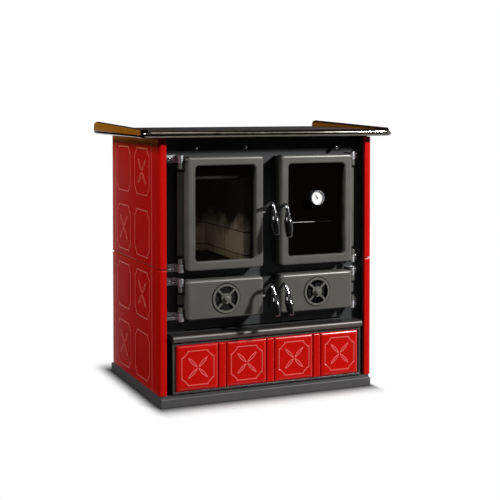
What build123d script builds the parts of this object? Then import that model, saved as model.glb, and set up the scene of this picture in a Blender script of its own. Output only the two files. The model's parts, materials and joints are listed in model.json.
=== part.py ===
from build123d import *
import os
from math import cos, radians, sin

os.makedirs("parts", exist_ok=True)

# Wood-burning cookstove in millimetres: X to the right, front towards -Y, Z up from the floor.
# Depths are measured backwards from the front of the red corner strips.

# Base
plinth_tail = 17.0  # back of the plinth behind the carcass
plinth_height = 28.0
plinth_inset = 5.0  # sides of the plinth inside the panels
plinth_lead = 5.0  # front of the plinth ahead of the strips
plinth_wall = 5.0
plinth_edge = 3.0
pan_height = 8.0
pan_inset = 8.0

# Ceramic side panels, each wrapped round the front corner in a strip
panel_short = 20.0  # back edge of a panel ahead of the carcass's back
panel_thickness = 12.0
panel_corner = 10.0
strip_width = 27.0
lower_panel_height = 395.5
panel_joint = 3.0
hob_joint = 3.0

# Steel carcass
wall_thickness = 3.0
carcass_depth = 530.0

# Cast front plate
plate_recess = 40.0
plate_thickness = 8.0
plate_gap = 3.0  # above the drawer front
slot_inset = 11.0  # ends of the air slot inside the doors' outer edges
slot_height = 5.0
slot_rise = 25.0
bolt_radius = 6.0
bolt_height = 5.0
bolt_rise = 25.0  # above the upper doors
bolt_places = (-79.0, 91.0)  # from the middle of the fire door

# Ledge over the drawer
ledge_side_gap = 16.0
ledge_height = 22.0
ledge_lead = 15.0
ledge_nose = 9.0

# Doors
door_width = 262.0
door_gap = 60.0  # between the left and right doors
door_side = 86.0  # from a door's outer edge to the side panel's face
lower_door_rise = 70.0  # above the front plate's bottom edge
lower_door_height = 125.0
door_row_gap = 29.0
upper_door_height = 359.0
door_headroom = 59.0  # from the upper doors to the hob
door_lead = 22.0  # door faces ahead of the strips
door_thickness = 40.0
door_corner = 12.0
door_edge = 9.0
door_rim = 15.0  # wall round the pocket at the back of a door
upper_face = 15.0
lower_face = 12.0
pocket_corner = 4.0
window_margin = 28.0
window_corner = 12.0
window_bevel = 3.0
glass_thickness = 4.0
glass_clearance = 0.5
retainer_thickness = 3.0

# Door seats on the front plate and the rope gaskets that close on them
seat_gap = 1.0
seat_thickness = 8.0
seat_inset = 3.5
gasket_depth = 5.0
gasket_clearance = 0.3
gasket_proud = 0.6

# Door hinges
hinge_offset = 12.0  # pin axis outside the door's edge
hinge_set_back = 26.0  # pin axis behind the door's face
pin_radius = 4.0
pin_clearance = 0.05
pin_seat_clearance = 0.02
pin_head_radius = 6.0
pin_head_height = 3.0
lug_radius = 9.0
lug_height = 18.0
lug_web = 14.0
lug_inset = 20.0  # lug's outer end from the door's top or bottom
lug_gap = 0.5
flange_width = 20.0
flange_thickness = 12.0
flange_gap = 10.0
bracket_height = 24.0
bracket_foot = 42.0
bracket_foot_thickness = 7.0
bracket_arm = 12.0
hinge_screw_radius = 5.0
hinge_screw_height = 4.0
hinge_screw_places = (15.0, 29.0)  # from the pin axis, along the foot

# Latch handles
stud_radius = 4.0
stud_clearance = 0.05
stud_head_radius = 7.0
stud_head = 2.5
hub_radius = 10.0
hub_width = 12.0
hub_clearance = 0.5
pivot_set_back = 26.0
arm_radius = 5.7
arm_length = 86.0
arm_rise = 24.0
elbow_radius = 15.0
neck_length = 30.0
grip_tilt = 8.0
fire_lift = 8.0  # how far each handle stands up at rest, in degrees
oven_lift = 3.0
lower_lift = 16.0
ferrule_length = 9.0
ferrule_radius = 8.5
grip_length = 70.0
grip_top_radius = 8.0
grip_radius = 14.0
grip_end_radius = 9.0
grip_end_round = 4.0
tongue_length = 28.0
tongue_height = 6.0
tongue_width = 8.0
keeper_gap = 0.5
keeper_height = 8.0
keeper_width = 14.0
keeper_length = 18.0

# Air spinners in the lower doors
spinner_radius = 46.0
spinner_recess = 3.0
recess_margin = 3.0
spinner_gap = 0.4
spinner_base = 3.0
spinner_relief = 3.0
rim_width = 7.0
vent_inner = 18.0
vent_outer = 38.0
spoke_width = 14.0
rib_width = 6.0
vent_bar = 28.0
spinner_hub = 17.0
knob_neck = 6.0
knob_radius = 9.0
knob_height = 12.0
shaft_radius = 4.0
shaft_clearance = 0.05
rivet_radius = 7.0
rivet_height = 3.0

# Oven thermometer
dial_height = 38.0  # above the middle of the oven door
case_radius = 24.0
case_depth = 22.0
case_wall = 2.0
case_floor = 15.0
stem_radius = 4.0
stem_clearance = 0.5
stem_length = 30.0
lens_thickness = 2.0
lens_set_back = 1.0
lens_clearance = 0.1
pointer_length = 16.0
pointer_tail = 6.0
pointer_width = 4.0
pointer_thickness = 1.2
pointer_lift = 1.0
pointer_pin_radius = 1.5
pointer_pin_clearance = 0.05
pointer_pin_depth = 4.0
pointer_rest = 35.0  # it leans this far to the left of upright

# Smoke damper
damper_offset = 89.0  # from the middle of the oven door
damper_rise = 20.0  # above the upper doors
rod_radius = 4.0
rod_clearance = 0.05
rod_front = 24.0  # depth of the rod's front end
rod_back_gap = 130.0
damper_knob_radius = 7.0
damper_knob_length = 12.0
damper_width = 110.0
damper_length = 90.0
damper_thickness = 3.0
damper_gap = 0.4
shelf_thickness = 3.0
smoke_hole_width = 90.0
smoke_hole_length = 60.0
smoke_hole_gap = 140.0

# Hob
hob_overhang = 64.0  # sides of the hob beyond the panels
hob_lead = 44.0  # front of the hob ahead of the panels
hob_tail = 6.0  # back of the hob behind the carcass
hob_height = 22.0
hob_corner = 34.0
hob_nose = 10.0
hob_front_bar = 74.0
rail_width = 30.0
rail_overlap = 2.0
rail_set_in = 12.0  # back ends of the rails ahead of the hob's back
rail_step = 5.0  # front end of a side rail above the front bar
rail_rise = 23.0  # back end of a side rail above the front bar
rail_lift = 1.0  # underside of a side rail above the hob's underside
rail_tip = 8.0  # length of the slope that ends a side rail at the front
rail_tip_inset = 2.0
rail_side_inset = 0.5  # sides of the rails inside the front bar's ends
rail_front_round = 9.0
rail_back_round = 14.0
rail_end_round = 10.0
cooktop_inset = 6.0  # sides of the cooking surface inside the panels
cooktop_front = 25.0
cooktop_tail = 10.0
cooktop_ledge = 10.0
hot_plate_thickness = 12.0
hot_plate_gap = 0.5
fire_hole_depth = 262.0
ring_radius = 113.0
ring_thickness = 8.0
ring_seat = 8.0
lid_radius = 60.0
lid_thickness = 4.0
lid_seat = 6.0
lid_slot_length = 26.0
lid_slot_width = 8.0
lift_gap = 0.3

# Firebox
shell_thickness = 4.0
smoke_gap = 45.0  # top of the firebox below the hob
shell_back_gap = 90.0
brick_thickness = 25.0
brick_height = 281.0
brick_front = 60.0
brick_joint = 0.5
grate_side_gap = 9.5
grate_front = 100.0
grate_back_gap = 41.0
grate_thickness = 10.0
grate_bar = 10.0
grate_slots = 8
grate_border = 14.0
grate_seat = 10.0
baffle_thickness = 8.0
baffle_front = 100.0
baffle_clearance = 2.0
baffle_cut = 40.0

# Oven and lower chambers
liner_thickness = 2.0
oven_back_gap = 80.0
runner_size = 6.0
rack_rise = 113.5  # above the oven's floor
rack_bar = 4.0
rack_bars = 11
rack_thickness = 5.0
rack_clearance = 2.0
rack_front = 70.0
rack_back_gap = 30.0
chamber_back_gap = 90.0
ash_pan_side_gap = 9.5
ash_pan_back_gap = 48.0
ash_pan_height = 55.0
ash_pan_wall = 2.0
ash_pan_front = 62.0
pan_tab_width = 60.0
pan_tab_length = 12.0

# Flue collar on the back
flue_offset = -11.0  # from the middle of the oven door
flue_drop = 155.0  # below the hob
flue_radius = 75.0
flue_wall = 3.0
flue_length = 60.0
flue_flange_radius = 95.0
flue_flange_thickness = 3.0

# Wood drawer
drawer_side_gap = 17.0
drawer_floor_gap = 4.0
drawer_height = 160.0
drawer_lead = 3.0
drawer_front_thickness = 12.0
drawer_border = 6.0
drawer_recess = 5.0
tile_count = 4
tile_margin = 6.0
tile_gap = 28.0
tile_clearance = 1.0
tile_thickness = 12.0
tile_bevel = 5.0
tile_strip_thickness = 6.0
tile_joint = 0.5
box_inset = 16.0
box_short = 20.0  # box lower than the drawer front
box_back_gap = 41.0
box_wall = 2.0
runner_width = 24.0
runner_gap = 0.3
runner_front = 30.0
runner_back_gap = 30.0
box_bottom_clearance = 5.0  # drawer box above the drawer front's bottom edge

# Places worked out from the driving sizes
plinth_depth = plinth_lead + carcass_depth + plinth_tail
front_y = plinth_lead - plinth_depth / 2
body_width = door_gap + 2 * (door_width + door_side)
half_body = body_width / 2
panel_depth = carcass_depth - panel_short
pan_top = plinth_height + pan_height
front_width = body_width - 2 * strip_width  # clear width between the corner strips
drawer_base = pan_top + drawer_floor_gap
drawer_width = front_width - 2 * drawer_side_gap
plate_base = drawer_base + drawer_height + plate_gap
lower_door_base = plate_base + lower_door_rise
wall_outer = half_body - panel_thickness
wall_inner = wall_outer - wall_thickness
back_inner = carcass_depth - wall_thickness
plate_back = plate_recess + plate_thickness
door_x = (door_gap + door_width) / 2
door_back = door_thickness - door_lead
lower_door_z = lower_door_base + lower_door_height / 2
upper_door_base = lower_door_base + lower_door_height + door_row_gap
upper_door_z = upper_door_base + upper_door_height / 2
upper_door_top = upper_door_base + upper_door_height
hob_base = upper_door_top + door_headroom
hob_top = hob_base + hob_height
upper_panel_base = pan_top + lower_panel_height + panel_joint
upper_panel_height = hob_base - hob_joint - upper_panel_base
damper_x = door_x + damper_offset
flue_x = door_x + flue_offset
flue_z = hob_base - flue_drop
damper_z = upper_door_top + damper_rise
window_width = door_width - 2 * window_margin
window_height = upper_door_height - 2 * window_margin
seat_front = door_back + seat_gap
opening_width = door_width - 2 * (seat_inset + seat_thickness)
hinge_x = door_gap / 2 + door_width + hinge_offset
hinge_depth = hinge_set_back - door_lead
pivot_depth = pivot_set_back - door_lead
lever_x = door_gap / 2 - hub_clearance - hub_width / 2
glass_front = upper_face - door_lead
sides = (("left", -1), ("right", 1))
upper_doors = (("fire", -1), ("oven", 1))
lower_doors = (("ash", -1), ("soot", 1))
door_rows = ((upper_door_z, upper_door_height), (lower_door_z, lower_door_height))


def y_at(depth):
    return front_y + depth


def facing(depth):
    # Upright plane at a depth: local x is X, local y is Z, and extruding goes forwards
    return Plane.XZ.offset(-y_at(depth))


def block(x0, x1, d0, d1, z0, z1, mode=Mode.ADD):
    # Box between two X limits, two depths and two heights
    with Locations(((x0 + x1) / 2, y_at((d0 + d1) / 2), (z0 + z1) / 2)):
        Box(abs(x1 - x0), d1 - d0, z1 - z0, mode=mode)


def opening_height(door_height):
    return door_height - 2 * (seat_inset + seat_thickness)


def lug_bases(middle, height):
    # Bottoms of a door's two hinge lugs
    return middle + height / 2 - lug_inset - lug_height, middle - height / 2 + lug_inset


def bracket_bases(middle, height):
    # Bottoms of the brackets above the upper lug and below the lower one
    upper, lower = lug_bases(middle, height)
    return upper + lug_height + lug_gap, lower - lug_gap - bracket_height


# Base plinth, open underneath
with BuildPart() as base_plinth:
    half_plinth = half_body - plinth_inset
    block(-half_plinth, half_plinth, -plinth_lead, plinth_depth - plinth_lead, 0, plinth_height)
    fillet(base_plinth.faces().sort_by(Axis.Z)[-1].edges(), plinth_edge)
    inner_x = half_plinth - plinth_wall
    inner_back = plinth_depth - plinth_lead - plinth_wall
    inner_top = plinth_height - plinth_wall
    block(-inner_x, inner_x, plinth_wall - plinth_lead, inner_back, 0, inner_top, Mode.SUBTRACT)
base_plinth.part.label = "base_plinth"
export_step(base_plinth.part, "parts/base_plinth.step")

# Pan that carries the carcass and the panels
with BuildPart() as base_pan:
    pan_half = half_body - pan_inset
    block(-pan_half, pan_half, plinth_edge, carcass_depth, plinth_height, pan_top)
base_pan.part.label = "base_pan"
export_step(base_pan.part, "parts/base_pan.step")

# Ceramic side panels: a flat side and a narrow front return with a rounded corner between them
panel_rows = (("lower", pan_top, lower_panel_height), ("upper", upper_panel_base, upper_panel_height))
for side, sign in sides:
    for row, base, height in panel_rows:
        with BuildPart() as panel:
            with BuildSketch(Plane.XY.offset(base)) as outline:
                with Locations((sign * (half_body - panel_thickness / 2), y_at(panel_depth / 2))):
                    Rectangle(panel_thickness, panel_depth)
                with Locations((sign * (half_body - strip_width / 2), y_at(panel_thickness / 2))):
                    Rectangle(strip_width, panel_thickness)
                corners = outline.vertices().group_by(Axis.Y)[0].sort_by(Axis.X)
                fillet(corners[0 if sign < 0 else -1], panel_corner)
            extrude(amount=height)
        panel.part.label = f"{side}_{row}_panel"
        export_step(panel.part, f"parts/{side}_{row}_panel.step")

# Steel side walls behind the panels
for side, sign in sides:
    with BuildPart() as wall:
        near, far = sorted((sign * wall_inner, sign * wall_outer))
        block(near, far, panel_thickness, carcass_depth, pan_top, hob_base)
    wall.part.label = f"{side}_wall"
    export_step(wall.part, f"parts/{side}_wall.step")

# Back panel with the flue opening
with BuildPart() as back_panel:
    with BuildSketch(facing(carcass_depth)):
        with Locations((0, (pan_top + hob_base) / 2)):
            Rectangle(2 * wall_inner, hob_base - pan_top)
        with Locations((flue_x, flue_z)):
            Circle(flue_radius - flue_wall, mode=Mode.SUBTRACT)
    extrude(amount=wall_thickness)
back_panel.part.label = "back_panel"
export_step(back_panel.part, "parts/back_panel.step")

# Flue collar: a flange on the back panel and a round spigot
with BuildPart() as flue_collar:
    with BuildSketch(facing(carcass_depth)):
        with Locations((flue_x, flue_z)):
            Circle(flue_flange_radius)
            Circle(flue_radius - flue_wall, mode=Mode.SUBTRACT)
    extrude(amount=-flue_flange_thickness)
    with BuildSketch(facing(carcass_depth)):
        with Locations((flue_x, flue_z)):
            Circle(flue_radius)
            Circle(flue_radius - flue_wall, mode=Mode.SUBTRACT)
    extrude(amount=-flue_length)
flue_collar.part.label = "flue_collar"
export_step(flue_collar.part, "parts/flue_collar.step")

# Front plate with four door openings, an air slot, the damper rod's hole, and keepers over the lever tongues
with BuildPart() as front_plate:
    with BuildSketch(facing(plate_back)):
        with Locations((0, (plate_base + hob_base) / 2)):
            Rectangle(2 * wall_inner, hob_base - plate_base)
        for middle, height in door_rows:
            with Locations((-door_x, middle), (door_x, middle)):
                Rectangle(opening_width, opening_height(height), mode=Mode.SUBTRACT)
        slot_length = door_gap + 2 * (door_width - slot_inset)
        with Locations((0, plate_base + slot_rise + slot_height / 2)):
            SlotOverall(slot_length, slot_height, mode=Mode.SUBTRACT)
        with Locations((damper_x, damper_z)):
            Circle(rod_radius + rod_clearance, mode=Mode.SUBTRACT)
    extrude(amount=plate_thickness)
    for sign in (-1, 1):
        for middle, height in door_rows:
            keeper_base = middle + tongue_height / 2 + keeper_gap
            keeper_top = keeper_base + keeper_height
            near, far = sorted((sign * (lever_x - keeper_width / 2), sign * (lever_x + keeper_width / 2)))
            block(near, far, plate_recess - keeper_length, plate_recess, keeper_base, keeper_top)
front_plate.part.label = "front_plate"
export_step(front_plate.part, "parts/front_plate.step")

# Door seats: four frames standing out of the front plate
with BuildPart() as door_seats:
    with BuildSketch(facing(plate_recess)):
        for middle, height in door_rows:
            with Locations((-door_x, middle), (door_x, middle)):
                Rectangle(door_width - 2 * seat_inset, height - 2 * seat_inset)
                Rectangle(opening_width, opening_height(height), mode=Mode.SUBTRACT)
    extrude(amount=plate_recess - seat_front)
door_seats.part.label = "door_seats"
export_step(door_seats.part, "parts/door_seats.step")

# Ledge with a rounded nose
ledge_width = front_width - 2 * ledge_side_gap
with BuildPart() as drawer_ledge:
    block(-ledge_width / 2, ledge_width / 2, -ledge_lead, plate_recess, plate_base, plate_base + ledge_height)
    nose_edges = drawer_ledge.faces().sort_by(Axis.Y)[0].edges().filter_by(Axis.X)
    fillet(nose_edges, ledge_nose)
drawer_ledge.part.label = "drawer_ledge"
export_step(drawer_ledge.part, "parts/drawer_ledge.step")

# Upper doors: cast frame, window glass, glass retainer and rope gasket
pocket_width = door_width - 2 * door_rim
pocket_height = upper_door_height - 2 * door_rim
for door, sign in upper_doors:
    middle = (sign * door_x, upper_door_z)
    dial_place = (sign * door_x, upper_door_z + dial_height)
    edge_x = sign * (door_gap / 2 + door_width)
    free_x = sign * door_gap / 2
    upper_lug, lower_lug = lug_bases(upper_door_z, upper_door_height)
    with BuildPart() as door_frame:
        with BuildSketch(facing(door_back)):
            with Locations(middle):
                RectangleRounded(door_width, upper_door_height, door_corner)
        extrude(amount=door_thickness)
        fillet(door_frame.faces().sort_by(Axis.Y)[0].edges(), door_edge)
        with BuildSketch(facing(door_back)):
            with Locations(middle):
                RectangleRounded(window_width, window_height, window_corner)
        extrude(amount=door_thickness, mode=Mode.SUBTRACT)
        chamfer(door_frame.faces().sort_by(Axis.Y)[0].inner_wires()[0].edges(), window_bevel)
        with BuildSketch(facing(door_back)):
            with Locations(middle):
                RectangleRounded(pocket_width, pocket_height, pocket_corner)
        extrude(amount=door_thickness - upper_face, mode=Mode.SUBTRACT)
        with BuildSketch(facing(door_back)):
            with Locations(middle):
                Rectangle(door_width - 2 * seat_inset, upper_door_height - 2 * seat_inset)
                Rectangle(opening_width, opening_height(upper_door_height), mode=Mode.SUBTRACT)
        extrude(amount=gasket_depth, mode=Mode.SUBTRACT)
        # Recessed flange along the hinge side, between the lugs
        flange_top = upper_lug - flange_gap
        flange_base = lower_lug + lug_height + flange_gap
        near, far = sorted((edge_x, edge_x + sign * flange_width))
        block(near, far, door_back - flange_thickness, door_back, flange_base, flange_top)
        for lug_base in (upper_lug, lower_lug):
            with BuildSketch(Plane.XY.offset(lug_base)):
                with Locations((sign * hinge_x, y_at(hinge_depth))):
                    Circle(lug_radius)
                with Locations((sign * (hinge_x - hinge_offset / 2), y_at(hinge_depth))):
                    Rectangle(hinge_offset, lug_web)
                with Locations((sign * hinge_x, y_at(hinge_depth))):
                    Circle(pin_radius + pin_clearance, mode=Mode.SUBTRACT)
            extrude(amount=lug_height)
        # Stud and head that carry the latch lever on the free edge
        with BuildSketch(Plane.YZ.offset(free_x)):
            with Locations((y_at(pivot_depth), upper_door_z)):
                Circle(stud_radius)
        extrude(amount=-sign * (hub_width + 2 * hub_clearance + stud_head))
        with BuildSketch(Plane.YZ.offset(free_x - sign * (hub_width + 2 * hub_clearance))):
            with Locations((y_at(pivot_depth), upper_door_z)):
                Circle(stud_head_radius)
        extrude(amount=-sign * stud_head)
    door_frame.part.label = f"{door}_door_frame"
    export_step(door_frame.part, f"parts/{door}_door_frame.step")

    glass_width = pocket_width - 2 * glass_clearance
    glass_height = pocket_height - 2 * glass_clearance
    with BuildPart() as glass:
        with BuildSketch(facing(glass_front + glass_thickness)):
            with Locations(middle):
                RectangleRounded(glass_width, glass_height, pocket_corner)
            if door == "oven":
                with Locations(dial_place):
                    Circle(stem_radius + stem_clearance, mode=Mode.SUBTRACT)
        extrude(amount=glass_thickness)
    glass.part.label = f"{door}_door_glass"
    export_step(glass.part, f"parts/{door}_door_glass.step")

    with BuildPart() as retainer:
        with BuildSketch(facing(glass_front + glass_thickness + retainer_thickness)):
            with Locations(middle):
                RectangleRounded(glass_width, glass_height, pocket_corner)
                RectangleRounded(window_width, window_height, window_corner, mode=Mode.SUBTRACT)
        extrude(amount=retainer_thickness)
    retainer.part.label = f"{door}_door_retainer"
    export_step(retainer.part, f"parts/{door}_door_retainer.step")

# Lower doors: cast frame with a round recess, vents and a bore for the air spinner
lower_pocket = lower_door_height - 2 * door_rim
recess_floor = spinner_recess - door_lead
for door, sign in lower_doors:
    middle = (sign * door_x, lower_door_z)
    edge_x = sign * (door_gap / 2 + door_width)
    free_x = sign * door_gap / 2
    upper_lug, lower_lug = lug_bases(lower_door_z, lower_door_height)
    with BuildPart() as door_frame:
        with BuildSketch(facing(door_back)):
            with Locations(middle):
                RectangleRounded(door_width, lower_door_height, door_corner)
        extrude(amount=door_thickness)
        fillet(door_frame.faces().sort_by(Axis.Y)[0].edges(), door_edge)
        with BuildSketch(facing(door_back)):
            with Locations(middle):
                RectangleRounded(pocket_width, lower_pocket, pocket_corner)
        extrude(amount=door_thickness - lower_face, mode=Mode.SUBTRACT)
        with BuildSketch(facing(recess_floor)):
            with Locations(middle):
                Circle(spinner_radius + recess_margin)
        extrude(amount=spinner_recess, mode=Mode.SUBTRACT)
        with BuildSketch(facing(lower_face - door_lead)):
            with Locations(middle):
                Circle(vent_outer)
                Circle(vent_inner, mode=Mode.SUBTRACT)
                with PolarLocations(0, 2, angular_range=180):
                    Rectangle(2 * vent_outer, vent_bar, mode=Mode.SUBTRACT)
                Circle(shaft_radius + shaft_clearance)
        extrude(amount=lower_face, mode=Mode.SUBTRACT)
        with BuildSketch(facing(door_back)):
            with Locations(middle):
                Rectangle(door_width - 2 * seat_inset, lower_door_height - 2 * seat_inset)
                Rectangle(opening_width, opening_height(lower_door_height), mode=Mode.SUBTRACT)
        extrude(amount=gasket_depth, mode=Mode.SUBTRACT)
        flange_top = upper_lug - flange_gap
        flange_base = lower_lug + lug_height + flange_gap
        near, far = sorted((edge_x, edge_x + sign * flange_width))
        block(near, far, door_back - flange_thickness, door_back, flange_base, flange_top)
        for lug_base in (upper_lug, lower_lug):
            with BuildSketch(Plane.XY.offset(lug_base)):
                with Locations((sign * hinge_x, y_at(hinge_depth))):
                    Circle(lug_radius)
                with Locations((sign * (hinge_x - hinge_offset / 2), y_at(hinge_depth))):
                    Rectangle(hinge_offset, lug_web)
                with Locations((sign * hinge_x, y_at(hinge_depth))):
                    Circle(pin_radius + pin_clearance, mode=Mode.SUBTRACT)
            extrude(amount=lug_height)
        with BuildSketch(Plane.YZ.offset(free_x)):
            with Locations((y_at(pivot_depth), lower_door_z)):
                Circle(stud_radius)
        extrude(amount=-sign * (hub_width + 2 * hub_clearance + stud_head))
        with BuildSketch(Plane.YZ.offset(free_x - sign * (hub_width + 2 * hub_clearance))):
            with Locations((y_at(pivot_depth), lower_door_z)):
                Circle(stud_head_radius)
        extrude(amount=-sign * stud_head)
    door_frame.part.label = f"{door}_door_frame"
    export_step(door_frame.part, f"parts/{door}_door_frame.step")

    # Air spinner: rim, four diagonal spokes with ribs, hub, mushroom knob and a riveted shaft
    spinner_back = recess_floor - spinner_gap
    with BuildPart() as spinner:
        with BuildSketch(facing(spinner_back)):
            with Locations(middle):
                Circle(spinner_radius)
                Circle(vent_outer, mode=Mode.SUBTRACT)
                with PolarLocations(0, 2, start_angle=45, angular_range=180):
                    Rectangle(2 * vent_outer + rib_width, spoke_width)
                Circle(spinner_hub)
        extrude(amount=spinner_base)
        with BuildSketch(facing(spinner_back - spinner_base)):
            with Locations(middle):
                Circle(spinner_radius)
                Circle(spinner_radius - rim_width, mode=Mode.SUBTRACT)
                with PolarLocations(0, 2, start_angle=45, angular_range=180):
                    Rectangle(2 * spinner_radius - rim_width, rib_width)
                Circle(spinner_hub)
        extrude(amount=spinner_relief)
        with BuildSketch(facing(spinner_back - spinner_base - spinner_relief)):
            with Locations(middle):
                Circle(knob_neck)
        extrude(amount=knob_height)
        with BuildSketch(facing(spinner_back - spinner_base - spinner_relief - knob_height / 2)):
            with Locations(middle):
                Circle(knob_radius)
        extrude(amount=knob_height / 2)
        fillet(spinner.faces().sort_by(Axis.Y)[0].edges(), knob_height / 4)
        with BuildSketch(facing(spinner_back)):
            with Locations(middle):
                Circle(shaft_radius)
        extrude(amount=-(lower_face - spinner_recess + 2 * spinner_gap + rivet_height))
        with BuildSketch(facing(lower_face - door_lead + spinner_gap)):
            with Locations(middle):
                Circle(rivet_radius)
        extrude(amount=-rivet_height)
    spinner.part.label = f"{door}_spinner"
    export_step(spinner.part, f"parts/{door}_spinner.step")

# Rope gaskets, pressed into the grooves of all four doors
gasket_rows = ((upper_doors, upper_door_z, upper_door_height), (lower_doors, lower_door_z, lower_door_height))
for doors, middle, height in gasket_rows:
    for door, sign in doors:
        with BuildPart() as gasket:
            with BuildSketch(facing(door_back + gasket_proud)):
                with Locations((sign * door_x, middle)):
                    outer_inset = seat_inset + gasket_clearance
                    inner_inset = seat_inset + seat_thickness - gasket_clearance
                    Rectangle(door_width - 2 * outer_inset, height - 2 * outer_inset)
                    Rectangle(door_width - 2 * inner_inset, height - 2 * inner_inset, mode=Mode.SUBTRACT)
            extrude(amount=gasket_depth + gasket_proud)
        gasket.part.label = f"{door}_door_gasket"
        export_step(gasket.part, f"parts/{door}_door_gasket.step")

# Hinge brackets on the front plate: foot, arm and a knuckle bored for the pin
with BuildPart() as hinge_brackets:
    for sign in (-1, 1):
        for middle, height in door_rows:
            for bracket_base in bracket_bases(middle, height):
                with BuildSketch(Plane.XY.offset(bracket_base)):
                    with Locations((sign * hinge_x, y_at(hinge_depth))):
                        Circle(lug_radius)
                    with Locations((sign * hinge_x, y_at((hinge_depth + plate_recess) / 2))):
                        Rectangle(bracket_arm, plate_recess - hinge_depth)
                    foot_middle = hinge_x + bracket_foot / 2 - bracket_arm / 2
                    with Locations((sign * foot_middle, y_at(plate_recess - bracket_foot_thickness / 2))):
                        Rectangle(bracket_foot, bracket_foot_thickness)
                    with Locations((sign * hinge_x, y_at(hinge_depth))):
                        Circle(pin_radius + pin_seat_clearance, mode=Mode.SUBTRACT)
                extrude(amount=bracket_height)
hinge_brackets.part.label = "hinge_brackets"
export_step(hinge_brackets.part, "parts/hinge_brackets.step")

# Hinge pins with flat heads, dropped through bracket and lug from above or pushed up from below
with BuildPart() as hinge_pins:
    pin_length = bracket_height + lug_gap + lug_height
    for sign in (-1, 1):
        for middle, height in door_rows:
            upper_bracket, lower_bracket = bracket_bases(middle, height)
            upper_end = upper_bracket + bracket_height
            upper_pin = (upper_end - pin_length, upper_end)
            lower_pin = (lower_bracket, lower_bracket - pin_head_height)
            for pin_base, head_base in (upper_pin, lower_pin):
                with BuildSketch(Plane.XY.offset(pin_base)):
                    with Locations((sign * hinge_x, y_at(hinge_depth))):
                        Circle(pin_radius)
                extrude(amount=pin_length)
                with BuildSketch(Plane.XY.offset(head_base)):
                    with Locations((sign * hinge_x, y_at(hinge_depth))):
                        Circle(pin_head_radius)
                extrude(amount=pin_head_height)
hinge_pins.part.label = "hinge_pins"
export_step(hinge_pins.part, "parts/hinge_pins.step")

# Screw heads: two on each hinge foot, and the bolts along the top of the front plate
with BuildPart() as front_screws:
    with BuildSketch(facing(plate_recess - bracket_foot_thickness)):
        for sign in (-1, 1):
            for middle, height in door_rows:
                for bracket_base in bracket_bases(middle, height):
                    for place in hinge_screw_places:
                        with Locations((sign * (hinge_x + place), bracket_base + bracket_height / 2)):
                            Circle(hinge_screw_radius)
    extrude(amount=hinge_screw_height)
    with BuildSketch(facing(plate_recess)):
        for place in bolt_places:
            with Locations((place - door_x, upper_door_top + bolt_rise)):
                Circle(bolt_radius)
    extrude(amount=bolt_height)
front_screws.part.label = "front_screws"
export_step(front_screws.part, "parts/front_screws.step")

# Latch handles: swan-neck lever on the door's stud, and a spindle grip on the lever's ferrule
upper_row = (upper_doors, upper_door_z, (fire_lift, oven_lift))
lower_row = (lower_doors, lower_door_z, (lower_lift, lower_lift))
for doors, middle, lifts in (upper_row, lower_row):
    for (door, sign), lift in zip(doors, lifts):
        turn = radians(lift)
        pivot = (sign * lever_x, y_at(pivot_depth), middle)
        arm_plane = Plane(origin=pivot, x_dir=(0, cos(turn), -sin(turn)), z_dir=(1, 0, 0))
        tilt = radians(grip_tilt)
        neck_end = (-arm_length - neck_length * sin(tilt), arm_rise - neck_length * cos(tilt))
        with BuildPart() as lever:
            with BuildLine(arm_plane) as neck:
                FilletPolyline((0, 0), (-arm_length, arm_rise), neck_end, radius=elbow_radius)
            with BuildSketch(Plane(origin=neck.line @ 0, z_dir=neck.line % 0)):
                Circle(arm_radius)
            sweep(path=neck.line)
            with BuildSketch(Plane(origin=neck.line @ 1, z_dir=neck.line % 1)):
                Circle(ferrule_radius)
            extrude(amount=ferrule_length)
            with BuildSketch(Plane.YZ.offset(sign * lever_x)):
                with Locations((y_at(pivot_depth), middle)):
                    Circle(hub_radius)
            extrude(amount=hub_width / 2, both=True)
            near, far = sorted((sign * (lever_x - tongue_width / 2), sign * (lever_x + tongue_width / 2)))
            tongue_end = pivot_depth + tongue_length
            tongue_low = middle - tongue_height / 2
            block(near, far, pivot_depth, tongue_end, tongue_low, tongue_low + tongue_height)
            with BuildSketch(Plane.YZ.offset(sign * lever_x)):
                with Locations((y_at(pivot_depth), middle)):
                    Circle(stud_radius + stud_clearance)
            extrude(amount=hub_width, both=True, mode=Mode.SUBTRACT)
        lever.part.label = f"{door}_door_lever"
        export_step(lever.part, f"parts/{door}_door_lever.step")

        grip_axis = neck.line % 1
        grip_start = neck.line @ 1 + grip_axis * ferrule_length
        grip_plane = Plane(origin=grip_start, x_dir=(1, 0, 0), z_dir=Vector(1, 0, 0).cross(grip_axis))
        with BuildPart() as grip:
            with BuildSketch(grip_plane):
                with BuildLine():
                    Line((0, 0), (grip_top_radius, 0))
                    belly = (grip_radius, grip_length / 2)
                    ThreePointArc((grip_top_radius, 0), belly, (grip_end_radius, grip_length))
                    Line((grip_end_radius, grip_length), (0, grip_length))
                    Line((0, grip_length), (0, 0))
                make_face()
            revolve(axis=Axis(grip_start, grip_axis))
            fillet(grip.edges().sort_by(Axis.Z)[0], grip_end_round)
        grip.part.label = f"{door}_door_grip"
        export_step(grip.part, f"parts/{door}_door_grip.step")

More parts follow.
